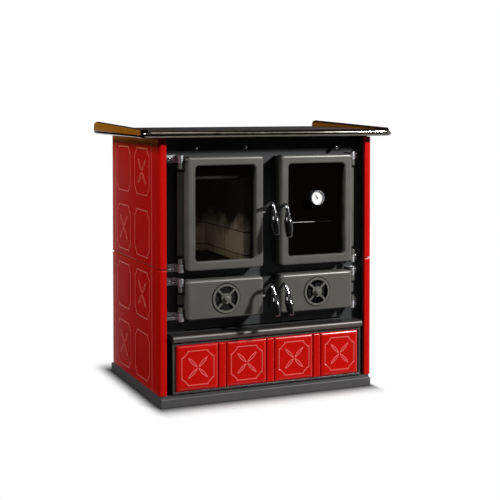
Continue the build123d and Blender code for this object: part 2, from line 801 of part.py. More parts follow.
# Oven thermometer: cup-shaped case on a stem through the glass, lens and pointer
dial_x = door_x
dial_z = upper_door_z + dial_height
case_front = glass_front - case_depth
dial_face = glass_front - case_floor
with BuildPart() as thermometer_case:
    with BuildSketch(facing(glass_front)):
        with Locations((dial_x, dial_z)):
            Circle(case_radius)
    extrude(amount=case_depth)
    with BuildSketch(facing(dial_face)):
        with Locations((dial_x, dial_z)):
            Circle(case_radius - case_wall)
    extrude(amount=case_depth, mode=Mode.SUBTRACT)
    with BuildSketch(facing(dial_face)):
        with Locations((dial_x, dial_z)):
            Circle(pointer_pin_radius + pointer_pin_clearance)
    extrude(amount=-pointer_pin_depth, mode=Mode.SUBTRACT)
    with BuildSketch(facing(glass_front)):
        with Locations((dial_x, dial_z)):
            Circle(stem_radius)
    extrude(amount=-stem_length)
thermometer_case.part.label = "thermometer_case"
export_step(thermometer_case.part, "parts/thermometer_case.step")

with BuildPart() as thermometer_lens:
    with BuildSketch(facing(case_front + lens_set_back + lens_thickness)):
        with Locations((dial_x, dial_z)):
            Circle(case_radius - case_wall - lens_clearance)
    extrude(amount=lens_thickness)
thermometer_lens.part.label = "thermometer_lens"
export_step(thermometer_lens.part, "parts/thermometer_lens.step")

with BuildPart() as thermometer_pointer:
    with BuildSketch(facing(dial_face - pointer_lift)):
        with Locations(Location((dial_x, dial_z, 0), (0, 0, pointer_rest))):
            with Locations((0, (pointer_length - pointer_tail) / 2)):
                Rectangle(pointer_width, pointer_length + pointer_tail)
    extrude(amount=pointer_thickness)
    with BuildSketch(facing(dial_face - pointer_lift)):
        with Locations((dial_x, dial_z)):
            Circle(pointer_pin_radius)
    extrude(amount=-(pointer_lift + pointer_pin_depth / 2))
thermometer_pointer.part.label = "thermometer_pointer"
export_step(thermometer_pointer.part, "parts/thermometer_pointer.step")

# Smoke shelf over the oven, and the damper plate that slides on it on a rod with a knob
shelf_top = damper_z - rod_radius - damper_gap
smoke_hole_back = carcass_depth - smoke_hole_gap
with BuildPart() as smoke_shelf:
    block(door_gap / 2, wall_inner, plate_back, back_inner, shelf_top - shelf_thickness, shelf_top)
    near = damper_x - smoke_hole_width / 2
    far = damper_x + smoke_hole_width / 2
    hole_front = smoke_hole_back - smoke_hole_length
    block(near, far, hole_front, smoke_hole_back, shelf_top - shelf_thickness, shelf_top, Mode.SUBTRACT)
smoke_shelf.part.label = "smoke_shelf"
export_step(smoke_shelf.part, "parts/smoke_shelf.step")

rod_back = carcass_depth - rod_back_gap
with BuildPart() as damper_pull:
    with BuildSketch(facing(rod_back)):
        with Locations((damper_x, damper_z)):
            Circle(rod_radius)
    extrude(amount=rod_back - rod_front)
    with BuildSketch(facing(rod_front)):
        with Locations((damper_x, damper_z)):
            Circle(damper_knob_radius)
    extrude(amount=damper_knob_length)
    fillet(damper_pull.faces().sort_by(Axis.Y)[0].edges(), damper_knob_length / 3)
    plate_low = shelf_top + damper_gap
    near = damper_x - damper_width / 2
    far = damper_x + damper_width / 2
    block(near, far, rod_back - damper_length, rod_back, plate_low, plate_low + damper_thickness)
damper_pull.part.label = "damper_pull"
export_step(damper_pull.part, "parts/damper_pull.step")

# Hob frame: rounded front bar, flat surround and two side rails that rise towards the back
hob_width = body_width + 2 * hob_overhang
half_hob = hob_width / 2
hob_back = carcass_depth + hob_tail
rail_back = hob_back - rail_set_in
cooktop_width = body_width - 2 * cooktop_inset
cooktop_back = carcass_depth - cooktop_tail
surround_half = half_hob - rail_width + rail_overlap
bar_back = hob_front_bar - hob_lead
rail_start = hob_corner - hob_lead
nose_width = rail_width - 2 * rail_tip_inset
nose_height = hob_height - 2 * rail_tip_inset
ledge_z = hob_top - hot_plate_thickness
with BuildPart() as hob_frame:
    with BuildSketch(Plane.XY.offset(hob_base)) as outline:
        with Locations((0, y_at(bar_back - hob_front_bar / 2))):
            Rectangle(hob_width, hob_front_bar)
        fillet(outline.vertices().group_by(Axis.Y)[0], hob_corner)
    extrude(amount=hob_height)
    bar_faces = hob_frame.faces()
    nose_edges = bar_faces.filter_by(Axis.Z).edges() - bar_faces.sort_by(Axis.Y)[-1].edges()
    fillet(nose_edges, hob_nose)
    for sign in (-1, 1):
        rail_x = sign * (half_hob - rail_side_inset - rail_width / 2)
        with BuildSketch(facing(rail_start - rail_tip)) as rail_nose:
            with Locations((rail_x, hob_base + hob_height / 2)):
                RectangleRounded(nose_width, nose_height, rail_front_round - rail_tip_inset)
        with BuildSketch(facing(rail_start)) as rail_front:
            with Locations((rail_x, hob_base + (hob_height + rail_step + rail_lift) / 2)):
                RectangleRounded(rail_width, hob_height + rail_step - rail_lift, rail_front_round)
        with BuildSketch(facing(rail_back)) as rail_rear:
            with Locations((rail_x, hob_base + (hob_height + rail_rise + rail_lift) / 2)):
                RectangleRounded(rail_width, hob_height + rail_rise - rail_lift, rail_back_round)
        loft(sections=[rail_nose.sketch, rail_front.sketch, rail_rear.sketch], ruled=True)
    fillet(hob_frame.faces().group_by(Axis.Y)[-1].edges(), rail_end_round)
    block(-surround_half, surround_half, bar_back, hob_back, hob_base, hob_top)
    inner_half = cooktop_width / 2 - cooktop_ledge
    hole_front = cooktop_front + cooktop_ledge
    block(-inner_half, inner_half, hole_front, cooktop_back - cooktop_ledge, hob_base, hob_top, Mode.SUBTRACT)
    block(-cooktop_width / 2, cooktop_width / 2, cooktop_front, cooktop_back, ledge_z, hob_top, Mode.SUBTRACT)
hob_frame.part.label = "hob_frame"
export_step(hob_frame.part, "parts/hob_frame.step")

# Hot plates on the frame's ledge, the left one bored for the ring
fire_hole = (-cooktop_width / 4, y_at(fire_hole_depth))
ring_base = hob_top - ring_thickness
for side, sign in sides:
    with BuildPart() as hot_plate:
        near, far = sorted((sign * hot_plate_gap, sign * (cooktop_width / 2 - hot_plate_gap)))
        plate_front = cooktop_front + hot_plate_gap
        block(near, far, plate_front, cooktop_back - hot_plate_gap, ledge_z, hob_top)
        if sign < 0:
            with BuildSketch(Plane.XY.offset(ring_base - lift_gap)):
                with Locations(fire_hole):
                    Circle(ring_radius + lift_gap)
            extrude(amount=hot_plate_thickness, mode=Mode.SUBTRACT)
            with BuildSketch(Plane.XY.offset(ledge_z)):
                with Locations(fire_hole):
                    Circle(ring_radius - ring_seat)
            extrude(amount=hot_plate_thickness, mode=Mode.SUBTRACT)
    hot_plate.part.label = f"{side}_hot_plate"
    export_step(hot_plate.part, f"parts/{side}_hot_plate.step")

# Ring over the fire, with a stepped hole for its lid
lid_base = hob_top - lid_thickness
with BuildPart() as hob_ring:
    with BuildSketch(Plane.XY.offset(ring_base)):
        with Locations(fire_hole):
            Circle(ring_radius)
            Circle(lid_radius - lid_seat, mode=Mode.SUBTRACT)
    extrude(amount=ring_thickness)
    with BuildSketch(Plane.XY.offset(lid_base - lift_gap)):
        with Locations(fire_hole):
            Circle(lid_radius + lift_gap)
    extrude(amount=ring_thickness, mode=Mode.SUBTRACT)
hob_ring.part.label = "hob_ring"
export_step(hob_ring.part, "parts/hob_ring.step")

# Lid with a slot for the lifter
with BuildPart() as hob_lid:
    with BuildSketch(Plane.XY.offset(lid_base)):
        with Locations(fire_hole):
            Circle(lid_radius)
            SlotOverall(lid_slot_length, lid_slot_width, mode=Mode.SUBTRACT)
    extrude(amount=lid_thickness)
hob_lid.part.label = "hob_lid"
export_step(hob_lid.part, "parts/hob_lid.step")

# Firebox shell behind the fire door: open front and top, with a hole in its floor under the grate
fire_x = -door_x
fire_half = opening_width / 2
fire_left = fire_x - fire_half
fire_right = fire_x + fire_half
fire_floor = upper_door_base
shell_base = fire_floor - shell_thickness
shell_top = hob_base - smoke_gap
shell_back = carcass_depth - shell_back_gap
back_face = shell_back - shell_thickness
grate_width = opening_width - 2 * (brick_thickness + grate_side_gap)
grate_length = back_face - brick_thickness - grate_back_gap - grate_front
with BuildPart() as firebox_shell:
    outer_half = fire_half + shell_thickness
    block(fire_x - outer_half, fire_x + outer_half, plate_back, shell_back, shell_base, shell_top)
    block(fire_left, fire_right, plate_back, back_face, fire_floor, shell_top, Mode.SUBTRACT)
    hole_left = fire_x - grate_width / 2 + grate_seat
    hole_right = fire_x + grate_width / 2 - grate_seat
    hole_front = grate_front + grate_seat
    hole_back = grate_front + grate_length - grate_seat
    block(hole_left, hole_right, hole_front, hole_back, shell_base, fire_floor, Mode.SUBTRACT)
firebox_shell.part.label = "firebox_shell"
export_step(firebox_shell.part, "parts/firebox_shell.step")

# Fire bricks: left, right and back
brick_top = fire_floor + brick_height
with BuildPart() as fire_bricks:
    brick_back = back_face - brick_thickness - brick_joint
    block(fire_left, fire_left + brick_thickness, brick_front, brick_back, fire_floor, brick_top)
    block(fire_right - brick_thickness, fire_right, brick_front, brick_back, fire_floor, brick_top)
    block(fire_left, fire_right, back_face - brick_thickness, back_face, fire_floor, brick_top)
fire_bricks.part.label = "fire_bricks"
export_step(fire_bricks.part, "parts/fire_bricks.step")

# Fire grate with long slots
with BuildPart() as fire_grate:
    with BuildSketch(Plane.XY.offset(fire_floor)):
        with Locations((fire_x, y_at(grate_front + grate_length / 2))):
            Rectangle(grate_width, grate_length)
            slot_pitch = (grate_width - 2 * grate_border) / grate_slots
            grate_slot = grate_length - 2 * grate_border
            with GridLocations(slot_pitch, 0, grate_slots, 1):
                SlotOverall(grate_slot, slot_pitch - grate_bar, rotation=90, mode=Mode.SUBTRACT)
    extrude(amount=grate_thickness)
fire_grate.part.label = "fire_grate"
export_step(fire_grate.part, "parts/fire_grate.step")

# Baffle plate on the bricks, with its front corners cut
with BuildPart() as baffle_plate:
    baffle_left = fire_left + baffle_clearance
    baffle_right = fire_right - baffle_clearance
    baffle_back = back_face - baffle_clearance
    block(baffle_left, baffle_right, baffle_front, baffle_back, brick_top, brick_top + baffle_thickness)
    front_corners = baffle_plate.edges().filter_by(Axis.Z).group_by(Axis.Y)[0]
    chamfer(front_corners, baffle_cut)
baffle_plate.part.label = "baffle_plate"
export_step(baffle_plate.part, "parts/baffle_plate.step")

# Oven liner with a pair of runners, and the rack on them
oven_back = carcass_depth - oven_back_gap
oven_low = upper_door_z - opening_height(upper_door_height) / 2
runner_z = oven_low + rack_rise
oven_high = upper_door_z + opening_height(upper_door_height) / 2
rack_length = oven_back - rack_back_gap - rack_front
oven_left = door_x - opening_width / 2
oven_right = door_x + opening_width / 2
liner_left = oven_left - liner_thickness
liner_right = oven_right + liner_thickness
with BuildPart() as oven_liner:
    liner_low = oven_low - liner_thickness
    block(liner_left, liner_right, plate_back, oven_back, liner_low, oven_high + liner_thickness)
    inner_back = oven_back - liner_thickness
    block(oven_left, oven_right, plate_back, inner_back, oven_low, oven_high, Mode.SUBTRACT)
    rack_back = rack_front + rack_length
    block(oven_left, oven_left + runner_size, rack_front, rack_back, runner_z - runner_size, runner_z)
    block(oven_right - runner_size, oven_right, rack_front, rack_back, runner_z - runner_size, runner_z)
oven_liner.part.label = "oven_liner"
export_step(oven_liner.part, "parts/oven_liner.step")

with BuildPart() as oven_rack:
    rack_width = opening_width - 2 * rack_clearance
    with BuildSketch(Plane.XY.offset(runner_z)):
        with Locations((door_x, y_at(rack_front + rack_length / 2))):
            Rectangle(rack_width, rack_length)
            rack_pitch = (rack_width - rack_bar) / rack_bars
            with GridLocations(rack_pitch, 0, rack_bars, 1):
                Rectangle(rack_pitch - rack_bar, rack_length - 2 * rack_bar, mode=Mode.SUBTRACT)
    extrude(amount=rack_thickness)
oven_rack.part.label = "oven_rack"
export_step(oven_rack.part, "parts/oven_rack.step")

# Chambers behind the lower doors: the ash chamber reaches up to the firebox, the soot chamber is closed
chamber_low = lower_door_z - opening_height(lower_door_height) / 2
chamber_high = lower_door_z + opening_height(lower_door_height) / 2
chamber_back = carcass_depth - chamber_back_gap
with BuildPart() as lower_chambers:
    ash_left = fire_left - liner_thickness
    ash_right = fire_right + liner_thickness
    inner_back = chamber_back - liner_thickness
    floor = chamber_low - liner_thickness
    roof = chamber_high + liner_thickness
    block(ash_left, ash_right, plate_back, chamber_back, floor, shell_base)
    block(fire_left, fire_right, plate_back, inner_back, chamber_low, shell_base, Mode.SUBTRACT)
    block(liner_left, liner_right, plate_back, chamber_back, floor, roof)
    block(oven_left, oven_right, plate_back, inner_back, chamber_low, chamber_high, Mode.SUBTRACT)
lower_chambers.part.label = "lower_chambers"
export_step(lower_chambers.part, "parts/lower_chambers.step")

# Ash pan on the ash chamber's floor, with a pull tab
with BuildPart() as ash_pan:
    pan_left = fire_left + ash_pan_side_gap
    pan_right = fire_right - ash_pan_side_gap
    pan_end = chamber_back - ash_pan_back_gap
    pan_floor = chamber_low + ash_pan_wall
    pan_high = chamber_low + ash_pan_height
    block(pan_left, pan_right, ash_pan_front, pan_end, chamber_low, pan_high)
    inner_left = pan_left + ash_pan_wall
    inner_right = pan_right - ash_pan_wall
    inner_front = ash_pan_front + ash_pan_wall
    inner_back = pan_end - ash_pan_wall
    block(inner_left, inner_right, inner_front, inner_back, pan_floor, pan_high, Mode.SUBTRACT)
    tab_left = fire_x - pan_tab_width / 2
    tab_front = ash_pan_front - pan_tab_length
    block(tab_left, tab_left + pan_tab_width, tab_front, ash_pan_front, pan_high - ash_pan_wall, pan_high)
ash_pan.part.label = "ash_pan"
export_step(ash_pan.part, "parts/ash_pan.step")

# Drawer runners on the base pan
box_base = drawer_base + box_bottom_clearance
box_width = drawer_width - 2 * box_inset
box_height = drawer_height - box_short
with BuildPart() as drawer_runners:
    for sign in (-1, 1):
        near, far = sorted((sign * box_width / 2, sign * (box_width / 2 - runner_width)))
        block(near, far, runner_front, carcass_depth - runner_back_gap, pan_top, box_base - runner_gap)
drawer_runners.part.label = "drawer_runners"
export_step(drawer_runners.part, "parts/drawer_runners.step")

# Drawer: open box, framed steel front, and the tiles and strips bonded into the front's recess
drawer_back = drawer_front_thickness - drawer_lead
drawer_middle = drawer_base + drawer_height / 2
tile_seat = drawer_recess - drawer_lead
with BuildPart() as drawer_box:
    half_box = box_width / 2
    box_end = carcass_depth - box_back_gap
    box_top = box_base + box_height
    block(-half_box, half_box, drawer_back, box_end, box_base, box_top)
    inner_half = half_box - box_wall
    inner_front = drawer_back + box_wall
    inner_end = box_end - box_wall
    block(-inner_half, inner_half, inner_front, inner_end, box_base + box_wall, box_top, Mode.SUBTRACT)
drawer_box.part.label = "drawer_box"
export_step(drawer_box.part, "parts/drawer_box.step")

with BuildPart() as drawer_front:
    drawer_top = drawer_base + drawer_height
    block(-drawer_width / 2, drawer_width / 2, -drawer_lead, drawer_back, drawer_base, drawer_top)
    with BuildSketch(facing(tile_seat)):
        with Locations((0, drawer_middle)):
            Rectangle(drawer_width - 2 * drawer_border, drawer_height - 2 * drawer_border)
    extrude(amount=drawer_recess, mode=Mode.SUBTRACT)
drawer_front.part.label = "drawer_front"
export_step(drawer_front.part, "parts/drawer_front.step")

tile_height = drawer_height - 2 * (drawer_border + tile_clearance)
tiled_width = drawer_width - 2 * (drawer_border + tile_margin)
tile_width = (tiled_width - (tile_count - 1) * tile_gap) / tile_count
tile_pitch = tile_width + tile_gap
with BuildPart() as drawer_tiles:
    with BuildSketch(facing(tile_seat)):
        with Locations((0, drawer_middle)):
            with GridLocations(tile_pitch, 0, tile_count, 1):
                Rectangle(tile_width, tile_height)
    extrude(amount=tile_thickness)
    for tile_face in drawer_tiles.faces().group_by(Axis.Y)[0]:
        chamfer(tile_face.edges(), tile_bevel)
    with BuildSketch(facing(tile_seat)):
        with Locations((0, drawer_middle)):
            with GridLocations(tile_pitch, 0, tile_count - 1, 1):
                Rectangle(tile_gap - 2 * tile_joint, tile_height)
    extrude(amount=tile_strip_thickness)
drawer_tiles.part.label = "drawer_tiles"
export_step(drawer_tiles.part, "parts/drawer_tiles.step")
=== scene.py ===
import json
import math

import bmesh
import bpy
import numpy as np
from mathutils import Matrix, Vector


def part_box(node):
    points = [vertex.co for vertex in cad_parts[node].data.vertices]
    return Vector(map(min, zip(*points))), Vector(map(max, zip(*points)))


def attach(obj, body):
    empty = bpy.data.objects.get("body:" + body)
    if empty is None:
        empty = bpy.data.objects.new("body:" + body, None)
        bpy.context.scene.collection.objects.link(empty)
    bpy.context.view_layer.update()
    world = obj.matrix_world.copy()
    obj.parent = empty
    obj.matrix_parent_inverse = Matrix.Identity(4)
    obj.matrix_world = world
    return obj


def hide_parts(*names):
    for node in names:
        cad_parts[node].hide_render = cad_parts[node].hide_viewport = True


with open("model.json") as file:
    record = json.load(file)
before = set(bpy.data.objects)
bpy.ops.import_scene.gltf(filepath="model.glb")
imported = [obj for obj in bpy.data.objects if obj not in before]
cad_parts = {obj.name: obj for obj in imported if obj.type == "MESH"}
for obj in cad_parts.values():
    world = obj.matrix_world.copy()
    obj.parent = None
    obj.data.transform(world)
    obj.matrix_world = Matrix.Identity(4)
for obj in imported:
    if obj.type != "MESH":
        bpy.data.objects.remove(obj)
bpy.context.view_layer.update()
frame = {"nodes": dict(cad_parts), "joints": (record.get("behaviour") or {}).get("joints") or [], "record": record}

# Wood-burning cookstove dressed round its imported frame, in metres. Sizes are millimetres times mm.
mm = 0.001
scene = bpy.context.scene
nodes = frame["nodes"]
record = frame["record"]
jointAt = {joint["name"]: joint for joint in frame["joints"]}
bodyOf = {node: body for body, members in record["behaviour"]["bodies"].items() for node in members}
doors = ("fire", "oven", "ash", "soot")
print("frame loaded:", len(nodes), "nodes")


def linear(hexCode):
    # sRGB hex to linear RGBA
    rgb = np.array([int(hexCode[i:i + 2], 16) for i in (1, 3, 5)]) / 255
    low, high = rgb / 12.92, ((rgb + 0.055) / 1.055) ** 2.4
    return (*np.where(rgb <= 0.04045, low, high).tolist(), 1.0)


def wire(tree, node, links):
    # each socket takes a plain value, a hex colour, an output, or a node's first live output
    for socket, value in links.items():
        if isinstance(value, bpy.types.Node):
            value = next(output for output in value.outputs if output.enabled)
        if isinstance(value, bpy.types.NodeSocket):
            tree.links.new(value, node.inputs[socket])
        else:
            node.inputs[socket].default_value = linear(value) if isinstance(value, str) else value


def addNode(tree, kind, links=None, **settings):
    # one shader node: settings are its properties, links what its sockets take
    node = tree.nodes.new("ShaderNode" + kind)
    for name, value in settings.items():
        setattr(node, name, value)
    wire(tree, node, links or {})
    return node


def startFinish(name, colour, **sockets):
    # a material, its tree and principled shader with plain sockets set on it, and the object coordinates
    finish = bpy.data.materials.new(name)
    finish.use_nodes = True
    tree = finish.node_tree
    shader = tree.nodes["Principled BSDF"]
    plain = {socket.replace("_", " "): value for socket, value in sockets.items()}
    wire(tree, shader, {"Base Color": colour, **plain})
    return finish, tree, shader, addNode(tree, "TexCoord").outputs["Object"]


def perMetre(sizeMm):
    # texture scale for a pattern whose cells are this many millimetres across
    return 1000.0 / sizeMm


def unit(vector):
    # vectors of length 1 in the same directions
    return vector / np.linalg.norm(vector, axis=-1, keepdims=True)


def roundAngles(sides):
    # even angles once round a circle
    return np.linspace(0, 2 * math.pi, sides, endpoint=False)


def gridQuads(rows, cols, closed=False, first=0):
    # corner numbers of the quads of a grid stored row by row, where closed its last column meets its first
    r, c = np.meshgrid(np.arange(rows - 1), np.arange(cols - (not closed)), indexing="ij")
    here, beside = r * cols + c, r * cols + (c + 1) % cols
    return first + np.stack([here, beside, beside + cols, here + cols], -1).reshape(-1, 4)


def capped(rings):
    # rings with their middle points added at both ends, which closes the ends
    return np.concatenate([rings[:1] * 0 + rings[0].mean(0), rings, rings[:1] * 0 + rings[-1].mean(0)])


def tube(path, radius, across, sides, closed=False):
    # circle along a path: centre + radius times (cosine of the angle sideways + sine along the other way)
    along = unit(np.roll(path, -1, 0) - np.roll(path, 1, 0) if closed else np.gradient(path, axis=0))
    other = unit(np.cross(along, np.broadcast_to(across, path.shape)))
    sideways = np.cross(other, along)
    angle = roundAngles(sides)
    rings = path[:, None] + sideways[:, None] * (radius * np.cos(angle))[..., None]
    rings = rings + other[:, None] * (radius * np.sin(angle))[..., None]
    return np.concatenate([rings, rings[:1]]) if closed else capped(rings)


def turned(profile, origin, axis, sides):
    # profile of (radius, distance) pairs turned about an axis: origin + distance along it + radius round it
    profile = np.asarray(profile, float)
    axis = unit(np.asarray(axis, float))
    first = unit(np.cross(axis, (1, 0, 0) if abs(axis[0]) < 0.7 else (0, 0, 1)))
    second = np.cross(axis, first)
    angle = roundAngles(sides)[:, None]
    ring = np.cos(angle) * first + np.sin(angle) * second
    return np.asarray(origin, float) + profile[:, 1, None, None] * axis + profile[:, 0, None, None] * ring


def arcPoints(centre, radius, start, end, count):
    # circle arc from one angle to another, in degrees, as (x, y) pairs
    angle = np.radians(np.linspace(start, end, count))
    return np.stack([centre[0] + radius * np.cos(angle), centre[1] + radius * np.sin(angle)], -1)


def domeProfile(radius, base, top, count):
    # quarter ellipse from the rim at the base to the middle at the top, as (radius, distance) pairs
    line = arcPoints((0, 0), 1, 0, 90, count) * (radius, top - base) + (0, base)
    line[-1, 0] = 0
    return line


def bandProfile(inner, outer, base, top):
    # closed rectangle between two radii and two distances
    return [(inner, base), (outer, base), (outer, top), (inner, top), (inner, base)]


def roundedLoop(low, high, radius, step):
    # rectangle with round corners as one closed line of evenly placed (x, z) points
    (left, bottom), (right, top) = np.add(low, radius), np.subtract(high, radius)
    corners = ((right, top), (left, top), (left, bottom), (right, bottom))
    arcs = [arcPoints(corner, radius, 90 * k, 90 * k + 90, 9) for k, corner in enumerate(corners)]
    line = np.concatenate([*arcs, arcs[0][:1]])
    length = np.concatenate([[0], np.cumsum(np.linalg.norm(np.diff(line, axis=0), axis=1))])
    at = np.linspace(0, length[-1], int(length[-1] / step), endpoint=False)
    return np.stack([np.interp(at, length, line[:, i]) for i in (0, 1)], -1)


def cutSheet(outline, front, back):
    # flat outline of (x, z) points given a thickness between two depths: points and faces
    count = len(outline)
    points = np.concatenate([np.insert(outline, 1, depth, axis=1) for depth in (front, back)])
    here = np.arange(count)
    beside = np.roll(here, -1)
    sides = np.stack([here, beside, count + beside, count + here], -1)
    return points, [here.tolist(), (count + here).tolist(), *sides.tolist()]


def weld(mesh, outward):
    # merges doubles, then turns the faces outward, or joins the triangles that lie in one plane
    work = bmesh.new()
    work.from_mesh(mesh)
    bmesh.ops.remove_doubles(work, verts=work.verts, dist=0.002 * mm)
    if outward:
        bmesh.ops.recalc_face_normals(work, faces=work.faces)
    else:
        bmesh.ops.dissolve_limit(work, angle_limit=math.radians(0.5), verts=work.verts, edges=work.edges)
    work.to_mesh(mesh)
    work.free()


def addObject(name, data, finish=None):
    # object at the origin in the scene's own collection
    item = bpy.data.objects.new(name, data)
    scene.collection.objects.link(item)
    if finish:
        data.materials.append(finish)
    return item


def addPiece(name, mesh, finish, node, angle, slot=None, stands=True):
    # piece that rides a node's body and stands for that node, or only sits beside it
    mesh.shade_smooth()
    mesh.set_sharp_from_angle(angle=math.radians(angle))
    piece = addObject(name, mesh, finish)
    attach(piece, bodyOf[node])
    if stands:
        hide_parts(node)
    return piece


def buildPiece(name, surfaces, finish, node, angle, thin=None, **place):
    # surfaces are grids closed round their columns, or pairs of points and faces, joined into one mesh
    points, faces, first = [], [], 0
    for surface in surfaces:
        if isinstance(surface, tuple):
            surface, corners = surface
            faces += [[first + i for i in face] for face in corners]
        else:
            faces += gridQuads(*surface.shape[:2], True, first).tolist()
        points.append(surface.reshape(-1, 3))
        first += len(points[-1])
    mesh = bpy.data.meshes.new(name)
    mesh.from_pydata(np.concatenate(points), [], faces)
    # share of pale glaze on raised lines: thin glaze, and partly a painted highlight
    if thin is not None:
        layer = mesh.attributes.new("thinGlaze", "FLOAT", "POINT")
        layer.data.foreach_set("value", np.asarray(thin, np.float32))
    weld(mesh, True)
    addPiece(name, mesh, finish, node, angle, **place)


def solidBoxes(node):
    # corners of each separate solid of a node: the lowest label spreads along edges until all labels settle
    mesh = nodes[node].data
    co = np.empty(len(mesh.vertices) * 3)
    mesh.vertices.foreach_get("co", co)
    co = co.reshape(-1, 3)
    edges = np.empty(len(mesh.edges) * 2, int)
    mesh.edges.foreach_get("vertices", edges)
    same = np.unique(np.round(co / (0.01 * mm)).astype(int), axis=0, return_inverse=True)[1].reshape(-1)
    edges = same[edges].reshape(-1, 2)
    label, spread = None, np.arange(same.max() + 1)
    while not np.array_equal(spread, label):
        label = spread
        spread = label.copy()
        low = label[edges].min(1)
        np.minimum.at(spread, edges[:, 0], low)
        np.minimum.at(spread, edges[:, 1], low)
    group = label[same]
    return [(co[group == g].min(0), co[group == g].max(0)) for g in np.unique(group)]


# Finishes

glazeLook = {"deep": "#a00a06", "bright": "#b80e08", "thin": "#d66f65", "mottleMm": 90, "waveMm": 45,
             "waveDepthMm": 0.35, "pinholeMm": 3.2, "pinholeDepthMm": 0.1}


def makeMajolica(look):
    # majolica: red glaze fired thick and glossy over clay, pooling darker, thin and pale over raised lines, the
    # paleness partly real thin glaze and partly a painted highlight on the lines
    finish, tree, shader, at = startFinish("glazedMajolica", look["bright"], Roughness=0.22,
                                           Specular_IOR_Level=0.32)
    mottle = addNode(tree, "TexNoise", {"Vector": at, "Scale": perMetre(look["mottleMm"]), "Detail": 5.0,
                                        "Roughness": 0.6})
    body = addNode(tree, "Mix", {0: mottle, 6: look["deep"], 7: look["bright"]}, data_type="RGBA")
    # pale over raised lines: thin glaze and a painted highlight
    thin = addNode(tree, "Attribute", attribute_name="thinGlaze").outputs["Fac"]
    faded = addNode(tree, "Mix", {0: thin, 6: body, 7: look["thin"]}, data_type="RGBA")
    pinhole = addNode(tree, "TexNoise", {"Vector": at, "Scale": perMetre(look["pinholeMm"]), "Detail": 1.0})
    wave = addNode(tree, "TexNoise", {"Vector": at, "Scale": perMetre(look["waveMm"]), "Detail": 2.0})
    ripple = addNode(tree, "Bump", {"Height": pinhole, "Strength": 0.12,
                                    "Distance": look["pinholeDepthMm"] * mm})
    flow = addNode(tree, "Bump", {"Height": wave, "Strength": 0.5, "Distance": look["waveDepthMm"] * mm,
                                  "Normal": ripple})
    wire(tree, shader, {"Base Color": faded, "Normal": flow})
    return finish


# painted shade: near-black tone, edges and reaches of the dark patches painted round the air holes, on the
# spinners' sunk floors and under the hob
paintedShadeLook = {"soot": "#070707", "blend": 1 * mm, "pastVent": 2 * mm, "spinnerFloor": 13.4 * mm,
             "heatFrom": -6 * mm, "heatTo": 10 * mm, "heatDepth": 0.85}


def ventPaintedShade(tree, at):
    # painted shade: near-black paint inside a circle round the air holes, at the same place left and right,
    # standing in for the shade seen through the holes
    low, high = np.array(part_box("soot_spinner"))
    folded = addNode(tree, "VectorMath", {0: at}, operation="ABSOLUTE")
    flat = addNode(tree, "VectorMath", {0: folded, 1: (1, 0, 1)}, operation="MULTIPLY")
    middle = ((low + high) / 2 * (1, 0, 1)).tolist()
    far = addNode(tree, "VectorMath", {0: flat, 1: middle}, operation="DISTANCE")
    edge = (high[0] - low[0]) / 2 + paintedShadeLook["pastVent"]
    reach = {"From Min": edge, "From Max": edge + paintedShadeLook["blend"]}
    return addNode(tree, "MapRange", {"Value": far, **reach, "To Min": 1.0, "To Max": 0.0})


def recessPaintedShade(tree, at):
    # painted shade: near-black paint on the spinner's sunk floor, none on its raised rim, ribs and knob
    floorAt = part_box("soot_spinner")[0][1] + paintedShadeLook["spinnerFloor"]
    depth = addNode(tree, "SeparateXYZ", {"Vector": at}).outputs["Y"]
    reach = {"From Min": floorAt, "From Max": floorAt + paintedShadeLook["blend"]}
    return addNode(tree, "MapRange", {"Value": depth, **reach})


def hobPaintedShadow(tree, at):
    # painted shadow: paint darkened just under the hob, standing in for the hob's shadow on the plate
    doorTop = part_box("fire_door_frame")[1][2]
    height = addNode(tree, "SeparateXYZ", {"Vector": at}).outputs["Z"]
    reach = {"From Min": doorTop + paintedShadeLook["heatFrom"], "From Max": doorTop + paintedShadeLook["heatTo"]}
    return addNode(tree, "MapRange", {"Value": height, **reach, "To Max": paintedShadeLook["heatDepth"]})


paintLook = {"cloudMm": 70, "roughSpread": 0.08, "sparkFrom": 0.9, "sparkMost": 0.5, "grit": 1.4}


def makeCastPaint(name, dark, light, spark, rough, grainMm, depthMm, specular, metal=0.25, paintedShade=None):
    # heat-proof metallic paint on sand-cast iron: a fine skin of grains, a few of them catching the light
    finish, tree, shader, at = startFinish(name, light, Metallic=metal, Specular_IOR_Level=specular)
    cloud = addNode(tree, "TexNoise", {"Vector": at, "Scale": perMetre(paintLook["cloudMm"]), "Detail": 6.0,
                                       "Roughness": 0.7})
    skin = addNode(tree, "Mix", {0: cloud, 6: dark, 7: light}, data_type="RGBA")
    flake = addNode(tree, "TexVoronoi", {"Vector": at, "Scale": perMetre(grainMm)})  # coarser than real
    shine = addNode(tree, "MapRange", {"Value": flake.outputs["Color"], "From Min": paintLook["sparkFrom"],
                                       "To Max": paintLook["sparkMost"]})
    skin = addNode(tree, "Mix", {0: shine, 6: skin, 7: spark}, data_type="RGBA")
    spread = paintLook["roughSpread"]
    matt = addNode(tree, "MapRange", {"Value": cloud, "To Min": rough - spread, "To Max": rough + spread})
    # painted shade: where a mask is given, the paint turns near black and matt inside it
    if paintedShade:
        shadeMask = paintedShade(tree, at)
        skin = addNode(tree, "Mix", {0: shadeMask, 6: skin, 7: paintedShadeLook["soot"]}, data_type="RGBA")
        matt = addNode(tree, "Math", {0: matt, 1: shadeMask}, operation="MAXIMUM")
    gritMm = grainMm * paintLook["grit"]
    grain = addNode(tree, "TexNoise", {"Vector": at, "Scale": perMetre(gritMm), "Detail": 3.0})
    cast = addNode(tree, "Bump", {"Height": grain, "Strength": 0.3, "Distance": depthMm * mm})
    wire(tree, shader, {"Base Color": skin, "Roughness": matt, "Normal": cast})
    return finish


